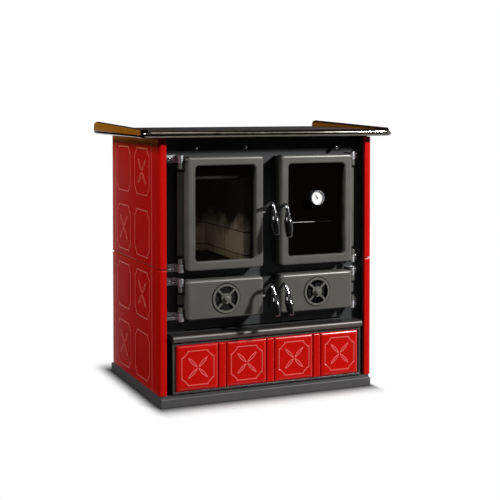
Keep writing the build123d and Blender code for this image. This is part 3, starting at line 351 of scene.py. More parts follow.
def makeSkin(name, colour, *patterns, **sockets):
    # plain skin that noise varies: a pattern has its cell in mm, its detail and a pair for what it steers
    # (tones, a bump's strength and depth in mm, or a socket's ends), and a stretch draws its cells out
    finish, tree, shader, at = startFinish(name, colour, **sockets)
    for cellMm, detail, steers, *stretch in patterns:
        drawn = addNode(tree, "Mapping", {"Vector": at, "Scale": stretch[0]}) if stretch else at
        noise = addNode(tree, "TexNoise", {"Vector": drawn, "Scale": perMetre(cellMm), "Detail": detail})
        for socket, (low, high) in steers.items():
            if socket == "Base Color":
                varied = addNode(tree, "Mix", {0: noise, 6: low, 7: high}, data_type="RGBA")
            elif socket == "Normal":
                varied = addNode(tree, "Bump", {"Height": noise, "Strength": low, "Distance": high * mm})
            else:
                varied = addNode(tree, "MapRange", {"Value": noise, "To Min": low, "To Max": high})
            wire(tree, shader, {socket: varied})
    return finish


def makeRolledSteel(name, colour, streak, rough, lineMm, stretch, depthMm):
    # rolled or brushed steel: fine streaks drawn out along the sheet, dull reflections
    lines = (lineMm, 4, {"Base Color": (colour, streak), "Normal": (0.35, depthMm)}, stretch)
    dulled = (120, 4, {"Roughness": (rough - 0.1, rough + 0.12)})
    return makeSkin(name, colour, lines, dulled, Metallic=1.0)


def makeChrome(name, colour, polish, haze):
    # plated steel: bright mirror skin with the slight ripple and finger haze of a polished casting
    hazed = (18, 4, {"Roughness": (polish, haze)})
    ripple = (30, 0, {"Normal": (0.1, 0.3)})
    return makeSkin(name, colour, hazed, ripple, Metallic=1.0)


def makeGlass(name, colour, opacity, gleam):
    # thin heat-proof pane: almost clear, a smoky film and a bright gleam at a slant
    film = (160, 3, {"Alpha": (opacity * 0.8, opacity * 1.2), "Roughness": (0.01, 0.05)})
    return makeSkin(name, colour, film, IOR=1.5, Specular_IOR_Level=gleam)


enamelLook = {"speckShare": 0.22, "speckMost": 0.7, "unevenMm": 4, "unevenDepthMm": 0.1}


def makeEnamel(name, colour, speck, rough, speckMm):
    # vitreous enamel: smooth fired glass on steel, faintly uneven, with a scatter of tiny pale specks
    finish, tree, shader, at = startFinish(name, colour, Roughness=rough, Specular_IOR_Level=0.25)
    dots = addNode(tree, "TexVoronoi", {"Vector": at, "Scale": perMetre(speckMm)})
    dot = addNode(tree, "MapRange", {"Value": dots, "From Max": enamelLook["speckShare"],
                                     "To Min": enamelLook["speckMost"], "To Max": 0.0})
    tone = addNode(tree, "Mix", {0: dot, 6: colour, 7: speck}, data_type="RGBA")
    uneven = addNode(tree, "TexNoise", {"Vector": at, "Scale": perMetre(enamelLook["unevenMm"]),
                                        "Detail": 1.0})
    peel = addNode(tree, "Bump", {"Height": uneven, "Strength": 0.03,
                                  "Distance": enamelLook["unevenDepthMm"] * mm})
    wire(tree, shader, {"Base Color": tone, "Normal": peel})
    return finish


brickLook = {"pale": "#f2e9d8", "sand": "#e0d2b6", "mortar": "#4a4038", "soot": "#120f0d", "courseMm": 76,
             "lengthMm": 230, "jointMm": 3, "jointDepthMm": 2, "grainMm": 2.2, "grainDepthMm": 0.5,
             "cleanTo": 0.63, "sootFrom": 0.72, "driftMm": 110, "drift": 0.25}


def makeFireclay(look):
    # fireclay bricks: pale buff and sandy by the grate, laid in courses, turning black higher up
    finish, tree, shader, at = startFinish("fireclayBrick", look["sand"], Roughness=0.92)
    axes = addNode(tree, "SeparateXYZ", {"Vector": at}).outputs
    walk = addNode(tree, "Math", {0: axes["X"], 1: axes["Y"]}, operation="ADD")  # runs on round the corners
    wall = addNode(tree, "CombineXYZ", {"X": walk, "Y": axes["Z"]})
    course = addNode(tree, "TexBrick", {
        "Vector": wall, "Scale": 1.0, "Color1": look["pale"], "Color2": look["sand"],
        "Mortar": look["mortar"], "Mortar Size": look["jointMm"] * mm / 2,
        "Brick Width": look["lengthMm"] * mm, "Row Height": look["courseMm"] * mm})
    cloud = addNode(tree, "TexNoise", {"Vector": at, "Scale": perMetre(look["driftMm"]), "Detail": 4.0})
    drift = addNode(tree, "Math", {0: cloud, 1: look["drift"], 2: axes["Z"]}, operation="MULTIPLY_ADD")
    reach = {"From Min": look["cleanTo"], "From Max": look["sootFrom"]}
    darkened = addNode(tree, "MapRange", {"Value": drift, **reach}, interpolation_type="SMOOTHSTEP")
    tone = addNode(tree, "Mix", {0: darkened, 6: course, 7: look["soot"]}, data_type="RGBA")
    joint = addNode(tree, "Bump", {"Height": course.outputs["Fac"], "Strength": 0.8,
                                   "Distance": look["jointDepthMm"] * mm}, invert=True)
    sand = addNode(tree, "TexNoise", {"Vector": at, "Scale": perMetre(look["grainMm"]), "Detail": 4.0})
    gritty = addNode(tree, "Bump", {"Height": sand, "Strength": 0.5, "Distance": look["grainDepthMm"] * mm,
                                    "Normal": joint})
    wire(tree, shader, {"Base Color": tone, "Normal": gritty})
    return finish


majolica = makeMajolica(glazeLook)
fireclay = makeFireclay(brickLook)

# paints and iron: dark, light and spark tones, roughness, grain and its depth in mm, specular, metallic
stoveGrey = ("#4d4c49", "#585752", "#8b8a86", 0.36, 1.6, 0.1, 0.4)
doorPaint = makeCastPaint("greyStovePaint", *stoveGrey)
# lower door frames with painted shade round the air holes
ventPaint = makeCastPaint("greyStovePaintSooted", *stoveGrey, paintedShade=ventPaintedShade)
# spinner paint with painted shade on the sunk floor
spinnerPaint = makeCastPaint("greyStovePaintWorn", "#55544f", "#605f5a", "#8b8a85", 0.4, 1.6, 0.1, 0.4,
                             paintedShade=recessPaintedShade)
# slate plate paint with a painted shadow under the hob
platePaint = makeCastPaint("slateStovePaint", "#2b2d2e", "#343637", "#5c5d5d", 0.5, 1.6, 0.1, 0.3,
                           paintedShade=hobPaintedShadow)
plinthPaint = makeCastPaint("charcoalPowderCoat", "#3b3a3b", "#444243", "#6f6e70", 0.5, 1.1, 0.05, 0.35, 0)
hotIron = makeCastPaint("groundCastIron", "#131212", "#201f1f", "#3a3939", 0.75, 2.0, 0.1, 0.1, 0)
# soot-black steel inside the stove; on the ash pan it is also painted shade for the dark seen through the vents
sootAndShadeSteel = makeCastPaint("sootySteel", "#0c0b0b", "#1a1918", "#242322", 0.85, 4.0, 0.2, 0.15)

# steels: tone, streak, roughness, streak width in mm, stretch along x, y, z, depth in mm
sheetSteel = makeRolledSteel("galvanisedSheet", "#8d9092", "#6f7274", 0.5, 1.4, (1, 1, 6), 0.05)
darkSteel = makeRolledSteel("blackenedSteel", "#3d3b39", "#2c2b2a", 0.42, 1.2, (0.1, 1, 1), 0.04)
frameSteel = makeRolledSteel("brushedSteel", "#6f6e6d", "#595858", 0.38, 0.9, (0.06, 1, 1), 0.03)
ledgeSteel = makeRolledSteel("satinSteel", "#5c5856", "#4a4745", 0.5, 0.9, (0.06, 1, 1), 0.03)
# painted firelight: the baffle's steel is made pale so it shows as if lit by the fire
baffleSteel = makeRolledSteel("scaledSteel", "#b9b6ae", "#8f8c85", 0.7, 1.4, (1, 0.2, 1), 0.05)
chrome = makeChrome("chromePlate", "#9a9b9e", 0.06, 0.2)
dulledChrome = makeChrome("dulledChrome", "#85898f", 0.3, 0.45)
nickel = makeChrome("nickelPlate", "#c4c4c8", 0.28, 0.42)

# hob frame: thick steel rail, polished bright but smeared, so it mirrors what stands round it
smear = (25, 5, {"Base Color": ("#57534d", "#736e67"), "Roughness": (0.08, 0.22)})
hobSteel = makeSkin("polishedSteelRail", "#67625c", smear, Metallic=1.0)
# knitted glass-fibre rope: pale grey yarn, matt and a little fuzzy
yarn = (1.2, 3, {"Base Color": ("#8f8b82", "#d0ccc2"), "Normal": (0.6, 0.4)})
rope = makeSkin("glassFibreRope", "#b9b5aa", yarn, Roughness=0.95, Sheen_Weight=0.3)
# phenolic grip: hard black moulding, polished, with faint wear haze
wear = (9, 5, {"Base Color": ("#080808", "#151516"), "Roughness": (0.08, 0.17)})
resin = makeSkin("phenolicResin", "#0c0c0d", wear, IOR=1.5)
# printed dial: white lacquer on tin, slightly uneven
uneven = (12, 3, {"Base Color": ("#e8e5dc", "#f7f6f1")})
dialTin = makeSkin("lacqueredTin", "#f1efe8", uneven, Roughness=0.4)
ovenEnamel = makeEnamel("blackVitreousEnamel", "#0b0b0c", "#3c3c3b", 0.45, 7)
pointerLacquer = makeEnamel("blackLacquer", "#101010", "#2a2a2a", 0.35, 4)
glass = makeGlass("glassCeramic", "#15110d", 0.1, 0.8)
dialGlass = makeGlass("dialGlass", "#f4f6f6", 0.06, 0.5)
print("finishes made")

# the first entry that a node's name ends with gives its finish
finishOf = (
    (plinthPaint, "base_plinth", "base_pan"),
    (platePaint, "front_plate", "door_seats"),
    (sheetSteel, "_wall", "back_panel", "_retainer", "drawer_runners", "drawer_box"),
    (ledgeSteel, "drawer_ledge"),
    (hobSteel, "hob_frame"),
    (hotIron, "_hot_plate", "hob_ring", "hob_lid", "fire_grate"),
    (sootAndShadeSteel, "firebox_shell", "lower_chambers", "ash_pan", "smoke_shelf"),
    (fireclay, "fire_bricks"),
    (baffleSteel, "baffle_plate"),
    (ovenEnamel, "oven_liner"),
    (frameSteel, "oven_rack", "drawer_front"),
    (darkSteel, "flue_collar", "hinge_pins"),
    (nickel, "hinge_brackets"),
    (chrome, "front_screws", "damper_pull", "_lever"),
    (dulledChrome, "thermometer_case"),
    (dialGlass, "thermometer_lens"),
    (pointerLacquer, "thermometer_pointer"),
    (ventPaint, "ash_door_frame", "soot_door_frame"),
    (spinnerPaint, "_spinner"),
    (rope, "_gasket"),
    (glass, "_glass"),
    (resin, "_grip"),
    (majolica, "_panel", "_tiles"),
)
for node, piece in nodes.items():
    finish = next((finish for finish, *endings in finishOf if node.endswith(tuple(endings))), doorPaint)
    piece.data.materials.clear()
    piece.data.materials.append(finish)


# Ceramic relief

reliefLook = {"lineWidth": 3.2 * mm, "lineHeight": 1.2 * mm}


def segmentDistance(x, y, start, end):
    # distance from points to a straight stretch: drop a foot on its line, held between the two ends
    start, end = np.asarray(start), np.asarray(end)
    run = end - start
    foot = np.clip(((x - start[0]) * run[0] + (y - start[1]) * run[1]) / (run @ run), 0, 1)
    return np.hypot(x - start[0] - foot * run[0], y - start[1] - foot * run[1])


def notchedLine(x, y, centre, half, cut, step):
    # distance to a square whose corners are cut across, with a small step at both ends of each cut
    x, y = np.abs(x - centre[0]), np.abs(y - centre[1])
    corner = [(0, half), (half - cut, half), (half - cut, half - step),
              (half - step, half - cut), (half, half - cut), (half, 0)]
    return np.min([segmentDistance(x, y, a, b) for a, b in zip(corner, corner[1:])], axis=0)


def petalLine(x, y, centre, inner, outer, half):
    # distance to four lens outlines on the diagonals: half width is a parabola, nothing at both tips
    x, y = np.abs(x - centre[0]), np.abs(y - centre[1])
    along, off = (x + y) / math.sqrt(2), np.abs(x - y) / math.sqrt(2)
    t = np.clip((along - inner) / (outer - inner), 0, 1)
    tip = np.maximum(np.maximum(inner - along, along - outer), 0)
    return np.hypot(np.abs(off - half * 4 * t * (1 - t)), tip)


def bead(distance):
    # round ridge along a line: a raised cosine across its width, from 1 on the line to 0
    share = np.clip(2 * distance / reliefLook["lineWidth"], 0, 1)
    return 0.5 * (1 + np.cos(np.pi * share))


def edgeFall(distance, radius):
    # how far a rounded edge has dropped, by a quarter circle, at this distance from the rim
    d = np.clip(radius - distance, 0, radius)
    return radius - np.sqrt(np.maximum(radius ** 2 - d ** 2, 0))


def rimDistance(x, z, low, high):
    # distance to the nearest side of an upright rectangle
    return np.minimum(np.minimum(x - low[0], high[0] - x), np.minimum(z - low[1], high[1] - z))


def steps(spans, fine, coarse):
    # rising values, close together within the spans and wide apart between them
    line, walk = [], 0
    for near, far in spans:
        for start, end, size in ((walk, near, coarse), (near, far, fine)):
            count = max(2, int(round((end - start) / size)) + 1)
            line.append(np.linspace(start, end, count)[:-1] if end > start else [])
        walk = far
    return np.concatenate(line + [[walk]])


panelLook = {"borderFront": 72 * mm, "borderBack": 472 * mm, "square": 150 * mm, "gap": 50 * mm,
             "bottom": 23 * mm, "notch": (20 * mm, 5 * mm), "petal": (4 * mm, 55 * mm, 4.5 * mm),
             "corner": 10 * mm, "edgeRound": 3 * mm, "thickness": 12 * mm, "fine": 1.5 * mm,
             "coarse": 8 * mm, "pad": 4 * mm}


def makePanel(node, look):
    # outline from the strip's inner edge, round the corner and back along the side, carried up the height
    # and pushed out along its normal by the relief
    low, high = np.array(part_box(node))
    side = -1 if low[0] < 0 else 1
    outer = low[0] if side < 0 else high[0]
    strip, depth, height = high - low
    corner, square, pad = look["corner"], look["square"], look["pad"]
    front, rear, pitch = look["borderFront"], look["borderBack"], square + look["gap"]
    left = front + (rear - front - square - pitch) / 2
    columns, rows = (left, left + pitch), (look["bottom"], look["bottom"] + pitch)
    arc = corner * math.pi / 2
    flat = strip - corner  # flat part of the strip
    offset = flat + arc - corner  # outline length minus depth on the side
    end = offset + depth
    marks = ((front, front), *((column, column + square) for column in columns), (rear, rear))
    spans = [(offset + near - pad, offset + far + pad) for near, far in marks]
    u = steps([(0, pad), (flat, flat + arc), *spans, (end - pad, end)], look["fine"], look["coarse"])
    spans = [(row - pad, row + square + pad) for row in rows]
    v = steps([(0, pad), *spans, (height - pad, height)], look["fine"], look["coarse"])
    turn = np.clip((u - flat) / arc, 0, 1) * math.pi / 2
    outlineX = outer - side * (strip - np.minimum(u, flat) - corner * np.sin(turn))
    outlineY = low[1] + corner * (1 - np.cos(turn)) + np.maximum(u - flat - arc, 0)
    normalX, normalY = side * np.sin(turn), -np.cos(turn)
    d, z = np.meshgrid(u - offset, v, indexing="ij")
    lines = [np.abs(d - front), np.abs(d - rear)]
    for i, column in enumerate(columns):
        for j, row in enumerate(rows):
            centre = (column + square / 2, row + square / 2)
            lines.append(notchedLine(d, z, centre, square / 2, *look["notch"]))
            if i != j:
                lines.append(petalLine(d, z, centre, *look["petal"]))
    ridge = bead(np.min(lines, axis=0))
    rim = rimDistance(u[:, None], z, (0, 0), (end, height))
    push = reliefLook["lineHeight"] * (ridge - 1) - edgeFall(rim, look["edgeRound"])
    skin = np.stack([outlineX[:, None] + normalX[:, None] * push,
                     outlineY[:, None] + normalY[:, None] * push, low[2] + z], -1)
    backX = np.where(u < flat, outlineX, outer - side * look["thickness"])
    backY = np.maximum(outlineY, low[1] + look["thickness"])
    back = np.stack([np.stack([backX, backY, u * 0 + level], -1) for level in (low[2], high[2])], 1)
    m, n = skin.shape[:2]
    skinAt = np.arange(m * n).reshape(m, n)
    backAt = m * n + np.arange(m * 2).reshape(m, 2)
    faces = gridQuads(m, n).tolist()
    foot, head = backAt.T
    for one, two in ((foot, head), (skinAt[:, 0], foot), (skinAt[:, -1], head)):
        faces += np.stack([one[:-1], one[1:], two[1:], two[:-1]], -1).tolist()
    faces += [[*skinAt[k].tolist(), *backAt[k, ::-1].tolist()] for k in (0, -1)]
    points = np.concatenate([skin.reshape(-1, 3), back.reshape(-1, 3)])
    thin = np.concatenate([ridge.reshape(-1), np.zeros(m * 2)])
    buildPiece(node + "Glazed", [(points, faces)], majolica, node, 50, thin)


for node in ("left_upper_panel", "left_lower_panel", "right_upper_panel", "right_lower_panel"):
    makePanel(node, panelLook)
print("side panels glazed")

tileLook = {"count": 4, "gap": 28 * mm, "joint": 0.6 * mm, "bevel": 13 * mm, "bevelDepth": 0.5,
            "square": 108 * mm, "notch": (20 * mm, 4 * mm), "petal": (4 * mm, 45 * mm, 3.6 * mm),
            "stripHeight": 10 * mm, "stripRound": 6 * mm, "stripColumns": 40, "fine": 1.3 * mm}


def reliefBlock(backAt, x, z, height):
    # block with a flat back at one depth and a front pushed forward from it by a height for each (x, z)
    front = np.stack([x, backAt - height, z], -1)
    m, n = x.shape
    at = np.arange(m * n).reshape(m, n)
    border = np.concatenate([at[:, 0], at[-1, 1:], at[-2::-1, -1], at[0, -2:0:-1]])
    rim = front.reshape(-1, 3)[border].copy()
    rim[:, 1] = backAt
    back = m * n + np.arange(len(border))
    faces = gridQuads(m, n).tolist()
    faces += np.stack([border, np.roll(border, -1), np.roll(back, -1), back], -1).tolist()
    faces.append(back.tolist())
    return np.concatenate([front.reshape(-1, 3), rim]), faces


def makeTiles(look):
    # tiles: rounded bevel at the rim, cut-corner square and four petals in thin raised lines;
    # between two tiles a plain round-edged strip
    low, high = np.array(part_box("drawer_tiles"))
    count, gap, joint = look["count"], look["gap"], look["joint"]
    width = (high[0] - low[0] - (count - 1) * gap) / count
    z = np.linspace(low[2], high[2], int((high[2] - low[2]) / look["fine"]))
    starts = low[0] + np.arange(count) * (width + gap)
    blocks = [(left, left + width, int(width / look["fine"])) for left in starts]
    blocks += [(left + joint, left + gap - joint, look["stripColumns"]) for left in starts[:-1] + width]
    surfaces, thin = [], []
    for k, (left, right, columns) in enumerate(blocks):
        gx, gz = np.meshgrid(np.linspace(left, right, columns), z, indexing="ij")
        rim = rimDistance(gx, gz, (left, low[2]), (right, high[2]))
        ridge, height = gx * 0, look["stripHeight"] - edgeFall(rim, look["stripRound"])
        if k < count:
            centre = ((left + right) / 2, (low[2] + high[2]) / 2)
            square = notchedLine(gx, gz, centre, look["square"] / 2, *look["notch"])
            ridge = bead(np.minimum(square, petalLine(gx, gz, centre, *look["petal"])))
            height = high[1] - low[1] + reliefLook["lineHeight"] * (ridge - 1)
            height = height - look["bevelDepth"] * edgeFall(rim, look["bevel"])
        points, faces = reliefBlock(high[1], gx, gz, height)
        surfaces.append((points, faces))
        thin += [ridge.reshape(-1), np.zeros(len(points) - ridge.size)]
    buildPiece("drawerTilesGlazed", surfaces, majolica, "drawer_tiles", 50, np.concatenate(thin))


makeTiles(tileLook)
print("drawer tiles glazed")


# Latch handles

handleLook = {"lift": {"fire": 8, "oven": 3, "ash": 16, "soot": 16}, "tilt": 8,  # degrees at rest
              "armLength": 86 * mm, "armRise": 24 * mm, "armRadius": 5.7 * mm, "elbow": 15 * mm,
              "neck": 30 * mm, "hubRadius": 10 * mm, "hubHalf": 6 * mm, "hubSwell": 0.22, "swellRun": 0.12,
              "bore": 4.05 * mm, "soft": 1.2 * mm, "tongueLength": 28 * mm, "tongueHalf": (4 * mm, 3 * mm),
              "tongueRound": 1 * mm, "tongueStep": 0.5 * mm, "tongueTip": 0.7,  # share of its size
              "ferrule": ((0, -1.5), (5.7, -1.5), (7.5, -0.5), (8.5, 0.8), (8.5, 7), (9.1, 7.4), (9.1, 8.4),
                          (8.1, 9), (0, 9)),  # radius and distance in mm
              "gripLength": 70 * mm, "gripTop": 8 * mm, "gripBelly": 14 * mm, "gripEnd": 9 * mm,
              "gripNose": 4 * mm, "gripChamfer": (0.8 * mm, 0.6 * mm), "bellyRun": 0.9, "bellyLean": 0.85,
              "taperFrom": 0.45}


def makeHandle(door, look):
    # swan neck: straight arm, round elbow and short neck, all in the upright plane through the pivot
    pivot = np.array(jointAt[door + "_handle_pivot"]["pos_m"])
    turn, tilt = np.radians((look["lift"][door], look["tilt"]))
    corner = np.array([-look["armLength"], look["armRise"]])
    down = np.array([-math.sin(tilt), -math.cos(tilt)])
    back = -unit(corner)
    halfAngle = math.acos(back @ down) / 2
    reach = look["elbow"] / math.tan(halfAngle)
    centre = corner + unit(back + down) * look["elbow"] / math.sin(halfAngle)
    start, end = corner + back * reach, corner + down * reach
    first, last = (math.degrees(math.atan2(*(point - centre)[::-1])) for point in (start, end))
    bend = arcPoints(centre, look["elbow"], first, last + 360 * (last < first), 20)
    neckEnd = corner + down * look["neck"]
    line = np.concatenate([np.linspace((0, 0), start, 14)[:-1], bend, np.linspace(end, neckEnd, 5)[1:]])

    def inWorld(flat):
        # lift the flat path about the pivot, then set it in the world
        y = flat[..., 0] * math.cos(turn) + flat[..., 1] * math.sin(turn)
        z = -flat[..., 0] * math.sin(turn) + flat[..., 1] * math.cos(turn)
        return np.stack([np.full_like(y, pivot[0]), pivot[1] + y, pivot[2] + z], -1)

    run = np.linspace(0, 1, len(line))[:, None]
    radius = look["armRadius"] * (1 + look["hubSwell"] * np.exp(-(run / look["swellRun"]) ** 2))
    arm = tube(inWorld(line), radius, (1, 0, 0), 20)  # thickens into the hub
    r, h, bore, soft = look["hubRadius"], look["hubHalf"], look["bore"], look["soft"]
    hub = [(bore, -h), (r - soft, -h), (r, -h + soft), (r, h - soft), (r - soft, h), (bore, h), (bore, -h)]
    axis = unit(inWorld(neckEnd + down) - inWorld(neckEnd))
    ferrule = np.array(look["ferrule"]) * mm
    half, length = np.array(look["tongueHalf"]), look["tongueLength"]
    square = roundedLoop(-half, half, look["tongueRound"], look["tongueStep"])
    sections = ((0.4 * r, 1), (length - soft, 1), (length, look["tongueTip"]))  # depth behind pivot, size
    tongue = pivot + np.stack([np.insert(square * size, 1, depth, axis=1) for depth, size in sections])
    sleeve = turned(ferrule, inWorld(neckEnd), axis, 32)
    lever = [arm, turned(hub, pivot, (1, 0, 0), 40), sleeve, capped(tongue)]
    buildPiece(door + "LeverPlated", lever, chrome, door + "_door_lever", 35)

    # grip: a sine swells it to the belly, then a cosine draws it in to the end, which a dome closes
    s = np.linspace(0, 1, 40)
    top, belly, slim, length = look["gripTop"], look["gripBelly"], look["gripEnd"], look["gripLength"]
    swell = np.minimum(s / look["bellyRun"], 1) ** look["bellyLean"]
    girth = top + (belly - top) * np.sin(np.pi * swell)
    late = (s - look["taperFrom"]) / (1 - look["taperFrom"])
    taper = slim + (belly - slim) * np.cos(np.pi / 2 * late)
    girth = np.where(late > 0, np.maximum(girth, taper), girth)
    noseAt = length - look["gripNose"]
    inset, rise = look["gripChamfer"]
    spindle = np.stack([girth, s * noseAt + rise], -1)
    nose = domeProfile(slim, noseAt, length, 9)[1:]
    shape = np.concatenate([[(0, 0), (top - inset, 0)], spindle, nose])
    shape[:, 1] = np.minimum(shape[:, 1], length)
    grip = turned(shape, inWorld(neckEnd) + axis * ferrule[-1, 1], axis, 40)
    buildPiece(door + "GripTurned", [grip], resin, door + "_door_grip", 60)


for door in doors:
    makeHandle(door, handleLook)
print("handles shaped")


# Small turned pieces

screwLook = {"dome": 0.45}  # share of the head's height


def makeScrews(look):
    # domed heads on the feet and the plate: a cylinder that closes in a shallow arc
    surfaces = []
    for low, high in solidBoxes("front_screws"):
        r, h = (high[0] - low[0]) / 2, high[1] - low[1]
        profile = np.concatenate([[(0, 0), (r, 0)], domeProfile(r, h * (1 - look["dome"]), h, 8)])
        foot = ((low[0] + high[0]) / 2, high[1], (low[2] + high[2]) / 2)
        surfaces.append(turned(profile, foot, (0, -1, 0), 28))
    buildPiece("frontScrewsDomed", surfaces, chrome, "front_screws", 40)


pinLook = {"shank": 4 * mm, "cap": 3 * mm, "reach": 30 * mm}


def makePins(look):
    # hinge pins with a round-edged head at the top, or at the foot where no bracket ends just below the top
    surfaces = []
    bracketTops = np.array([high[2] for low, high in solidBoxes("hinge_brackets")])
    for low, high in solidBoxes("hinge_pins"):
        above = high[2] - bracketTops
        up = ((above > 0) & (above < look["reach"])).any()
        length, shank = high[2] - low[2], look["shank"]
        neck = length - look["cap"]
        head = domeProfile((high[0] - low[0]) / 2, neck, length, 6)
        profile = np.concatenate([[(0, 0), (shank, 0), (shank, neck)], head])
        origin = (*((low + high) / 2)[:2], low[2] if up else high[2])
        surfaces.append(turned(profile, origin, (0, 0, 1 if up else -1), 32))
    buildPiece("hingePinsTurned", surfaces, darkSteel, "hinge_pins", 40)


makeScrews(screwLook)
makePins(pinLook)
print("screws and pins turned")

dialLook = {"ticks": 25, "sweep": 270, "longEvery": 4, "tickOut": 20.2 * mm, "tickIn": 17.4 * mm,
            "longIn": 16 * mm, "tickHalf": 0.35 * mm, "longHalf": 0.56 * mm, "rest": 35,
            "pointerNose": 15.5 * mm, "pointerTail": 6 * mm, "pointerHalf": 1.6 * mm,
            "pointerThick": 1.2 * mm, "boss": 3 * mm, "pin": 1.5 * mm, "pinBore": 2 * mm,
            "pinClear": 0.1 * mm, "shoulder": 2 * mm, "hole": 1.8 * mm, "plate": 0.5 * mm,
            "plateGap": 0.2 * mm, "wellWall": (0.7 * mm, 0.1 * mm), "ink": (0.4 * mm, 0.62 * mm),
            "bezelRound": 1.05 * mm, "waist": 1.2 * mm, "cupChamfer": (2 * mm, 1 * mm), "stem": 4 * mm,
            "stemChamfer": 1 * mm}


def makeThermometer(look):
    # chrome cup with a rolled rim round a white dial; short strokes on a circle mark the scale
    low, high = np.array(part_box("thermometer_case"))
    lensLow, lensHigh = np.array(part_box("thermometer_lens"))
    pointerLow, pointerHigh = np.array(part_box("thermometer_pointer"))
    middle = ((low + high) / 2)[[0, 2]]
    r, bore = (high[0] - low[0]) / 2, (lensHigh[0] - lensLow[0]) / 2
    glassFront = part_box("oven_door_glass")[0][1]
    face = pointerHigh[1] - look["pinBore"]
    soft, stem, waist = look["bezelRound"], look["stem"], r - look["waist"]
    deep, floorAt, stemEnd = glassFront - low[1], glassFront - face, high[1] - glassFront

    def onAxis(profile, depth, way, sides):
        # profile turned about the dial's axis, forward or back from a depth
        return turned(profile, (middle[0], depth, middle[1]), (0, way, 0), sides)

    inset, rise = look["cupChamfer"]
    cup = [(0, 0), (r - inset, 0), (waist, rise), (waist, deep - 3 * soft),
           *arcPoints((r - soft, deep - soft), soft, 0, 180, 14),
           (bore, deep - 2 * soft), (bore, floorAt), (0, floorAt)]
    cut = look["stemChamfer"]
    stemLine = [(0, 0), (stem, 0), (stem, stemEnd - cut), (stem - cut, stemEnd), (0, stemEnd)]
    case = [onAxis(cup, glassFront, -1, 64), onAxis(stemLine, glassFront, 1, 24)]
    buildPiece("thermometerCaseTurned", case, dulledChrome, "thermometer_case", 40)
    # black lining round the inside of the cup: painted shade in the deep well round the dial
    well = bandProfile(*np.subtract(bore, look["wellWall"]), look["plate"], face - lensHigh[1])
    plate = bandProfile(look["hole"], bore - look["plateGap"], 0, look["plate"])
    inside = (("thermometerWell", well, pointerLacquer), ("thermometerDial", plate, dialTin))
    for name, profile, finish in inside:
        buildPiece(name, [onAxis(profile, face, -1, 64)], finish, "thermometer_case", 40, stands=False)
    strokes = []
    half = look["sweep"] / 2
    for k, angle in enumerate(np.radians(np.linspace(-half, half, look["ticks"]))):
        size = "long" if k % look["longEvery"] == 0 else "tick"
        out = np.array([math.sin(angle), math.cos(angle)])
        side = np.array([math.cos(angle), -math.sin(angle)]) * look[size + "Half"]
        inner, outer = out * look[size + "In"], out * look["tickOut"]
        corners = middle + np.array([inner - side, outer - side, outer + side, inner + side])
        strokes.append(cutSheet(corners, *np.subtract(face, look["ink"])))
    buildPiece("thermometerScale", strokes, pointerLacquer, "thermometer_case", 40, slot="pointer_paint",
               stands=False)
    top, bottom = pointerLow[1], pointerLow[1] + look["pointerThick"]
    tail, half, boss, shoulder = (look[key] for key in ("pointerTail", "pointerHalf", "boss", "shoulder"))
    outline = np.array([(0, look["pointerNose"]), (half, shoulder), *arcPoints((0, 0), boss, 20, -70, 6),
                        (half, -tail), (-half, -tail), *arcPoints((0, 0), boss, 250, 160, 6),
                        (-half, shoulder)])
    lean = math.radians(look["rest"])
    outline = outline @ np.array([(math.cos(lean), math.sin(lean)), (-math.sin(lean), math.cos(lean))])
    clear = face - look["pinClear"] - bottom  # the spindle ends just short of the cup's floor
    pin = [(0, 0), (look["pin"], 0), (look["pin"], clear), (0, clear)]
    pointer = [cutSheet(middle + outline, top, bottom), onAxis(pin, bottom, 1, 16)]
    buildPiece("thermometerPointerCut", pointer, pointerLacquer, "thermometer_pointer", 40)


makeThermometer(dialLook)
print("thermometer made")


# Rope seals and the oven rack

ropeLook = {"step": 1.6 * mm, "strands": 4, "pitch": 9 * mm, "rise": 0.09, "corner": 6 * mm,
            "edge": 3.7 * mm, "sides": 18}


def makeGasket(node, look):
    # round rope in a closed loop, its radius swelling where two sets of yarn wind past each other
    low, high = np.array(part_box(node))
    radius, edge = (high[1] - low[1]) / 2, look["edge"]
    loop = roundedLoop(low[[0, 2]] + edge, high[[0, 2]] - edge, look["corner"], look["step"])
    path = np.insert(loop, 1, high[1] - radius, axis=1)
    along = np.arange(len(loop))[:, None] * look["step"] * 2 * math.pi / look["pitch"]
    angle = look["strands"] * roundAngles(look["sides"])[None]
    yarn = np.maximum(np.cos(angle + along), np.cos(angle - along))
    swell = radius * (1 - look["rise"] + look["rise"] * yarn)
    buildPiece(node + "Rope", [tube(path, swell, (0, 1, 0), look["sides"], True)], rope, node, 80)


for door in doors:
    makeGasket(door + "_door_gasket", ropeLook)

rackLook = {"rim": 2.5 * mm, "wire": 1.7 * mm, "wires": 12, "corner": 14 * mm, "step": 4 * mm,
            "crossAt": (0.3, 0.7)}


def makeRack(look):
    # wire shelf: a rod bent into a round-cornered loop with thin wires laid across it
    low, high = np.array(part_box("oven_rack"))
    rim, wireRadius = look["rim"], look["wire"]
    inLow, inHigh = low + rim, high - rim
    loop = roundedLoop(inLow[:2], inHigh[:2], look["corner"], look["step"])
    surfaces = [tube(np.insert(loop, 2, inLow[2], axis=1), rim, (0, 0, 1), 12, True)]
    above, below = high[2] - wireRadius, low[2] + wireRadius
    rods = [((x, inLow[1], above), (x, inHigh[1], above), (1, 0, 0))
            for x in np.linspace(low[0] + 3 * rim, high[0] - 3 * rim, look["wires"])]
    rods += [((inLow[0], y, below), (inHigh[0], y, below), (0, 1, 0))
             for y in low[1] + np.array(look["crossAt"]) * (high[1] - low[1])]
    for start, end, across in rods:
        surfaces.append(tube(np.linspace(start, end, 6), wireRadius, across, 10))
    buildPiece("ovenRackWire", surfaces, frameSteel, "oven_rack", 60)


makeRack(rackLook)
print("rope seals and rack made")

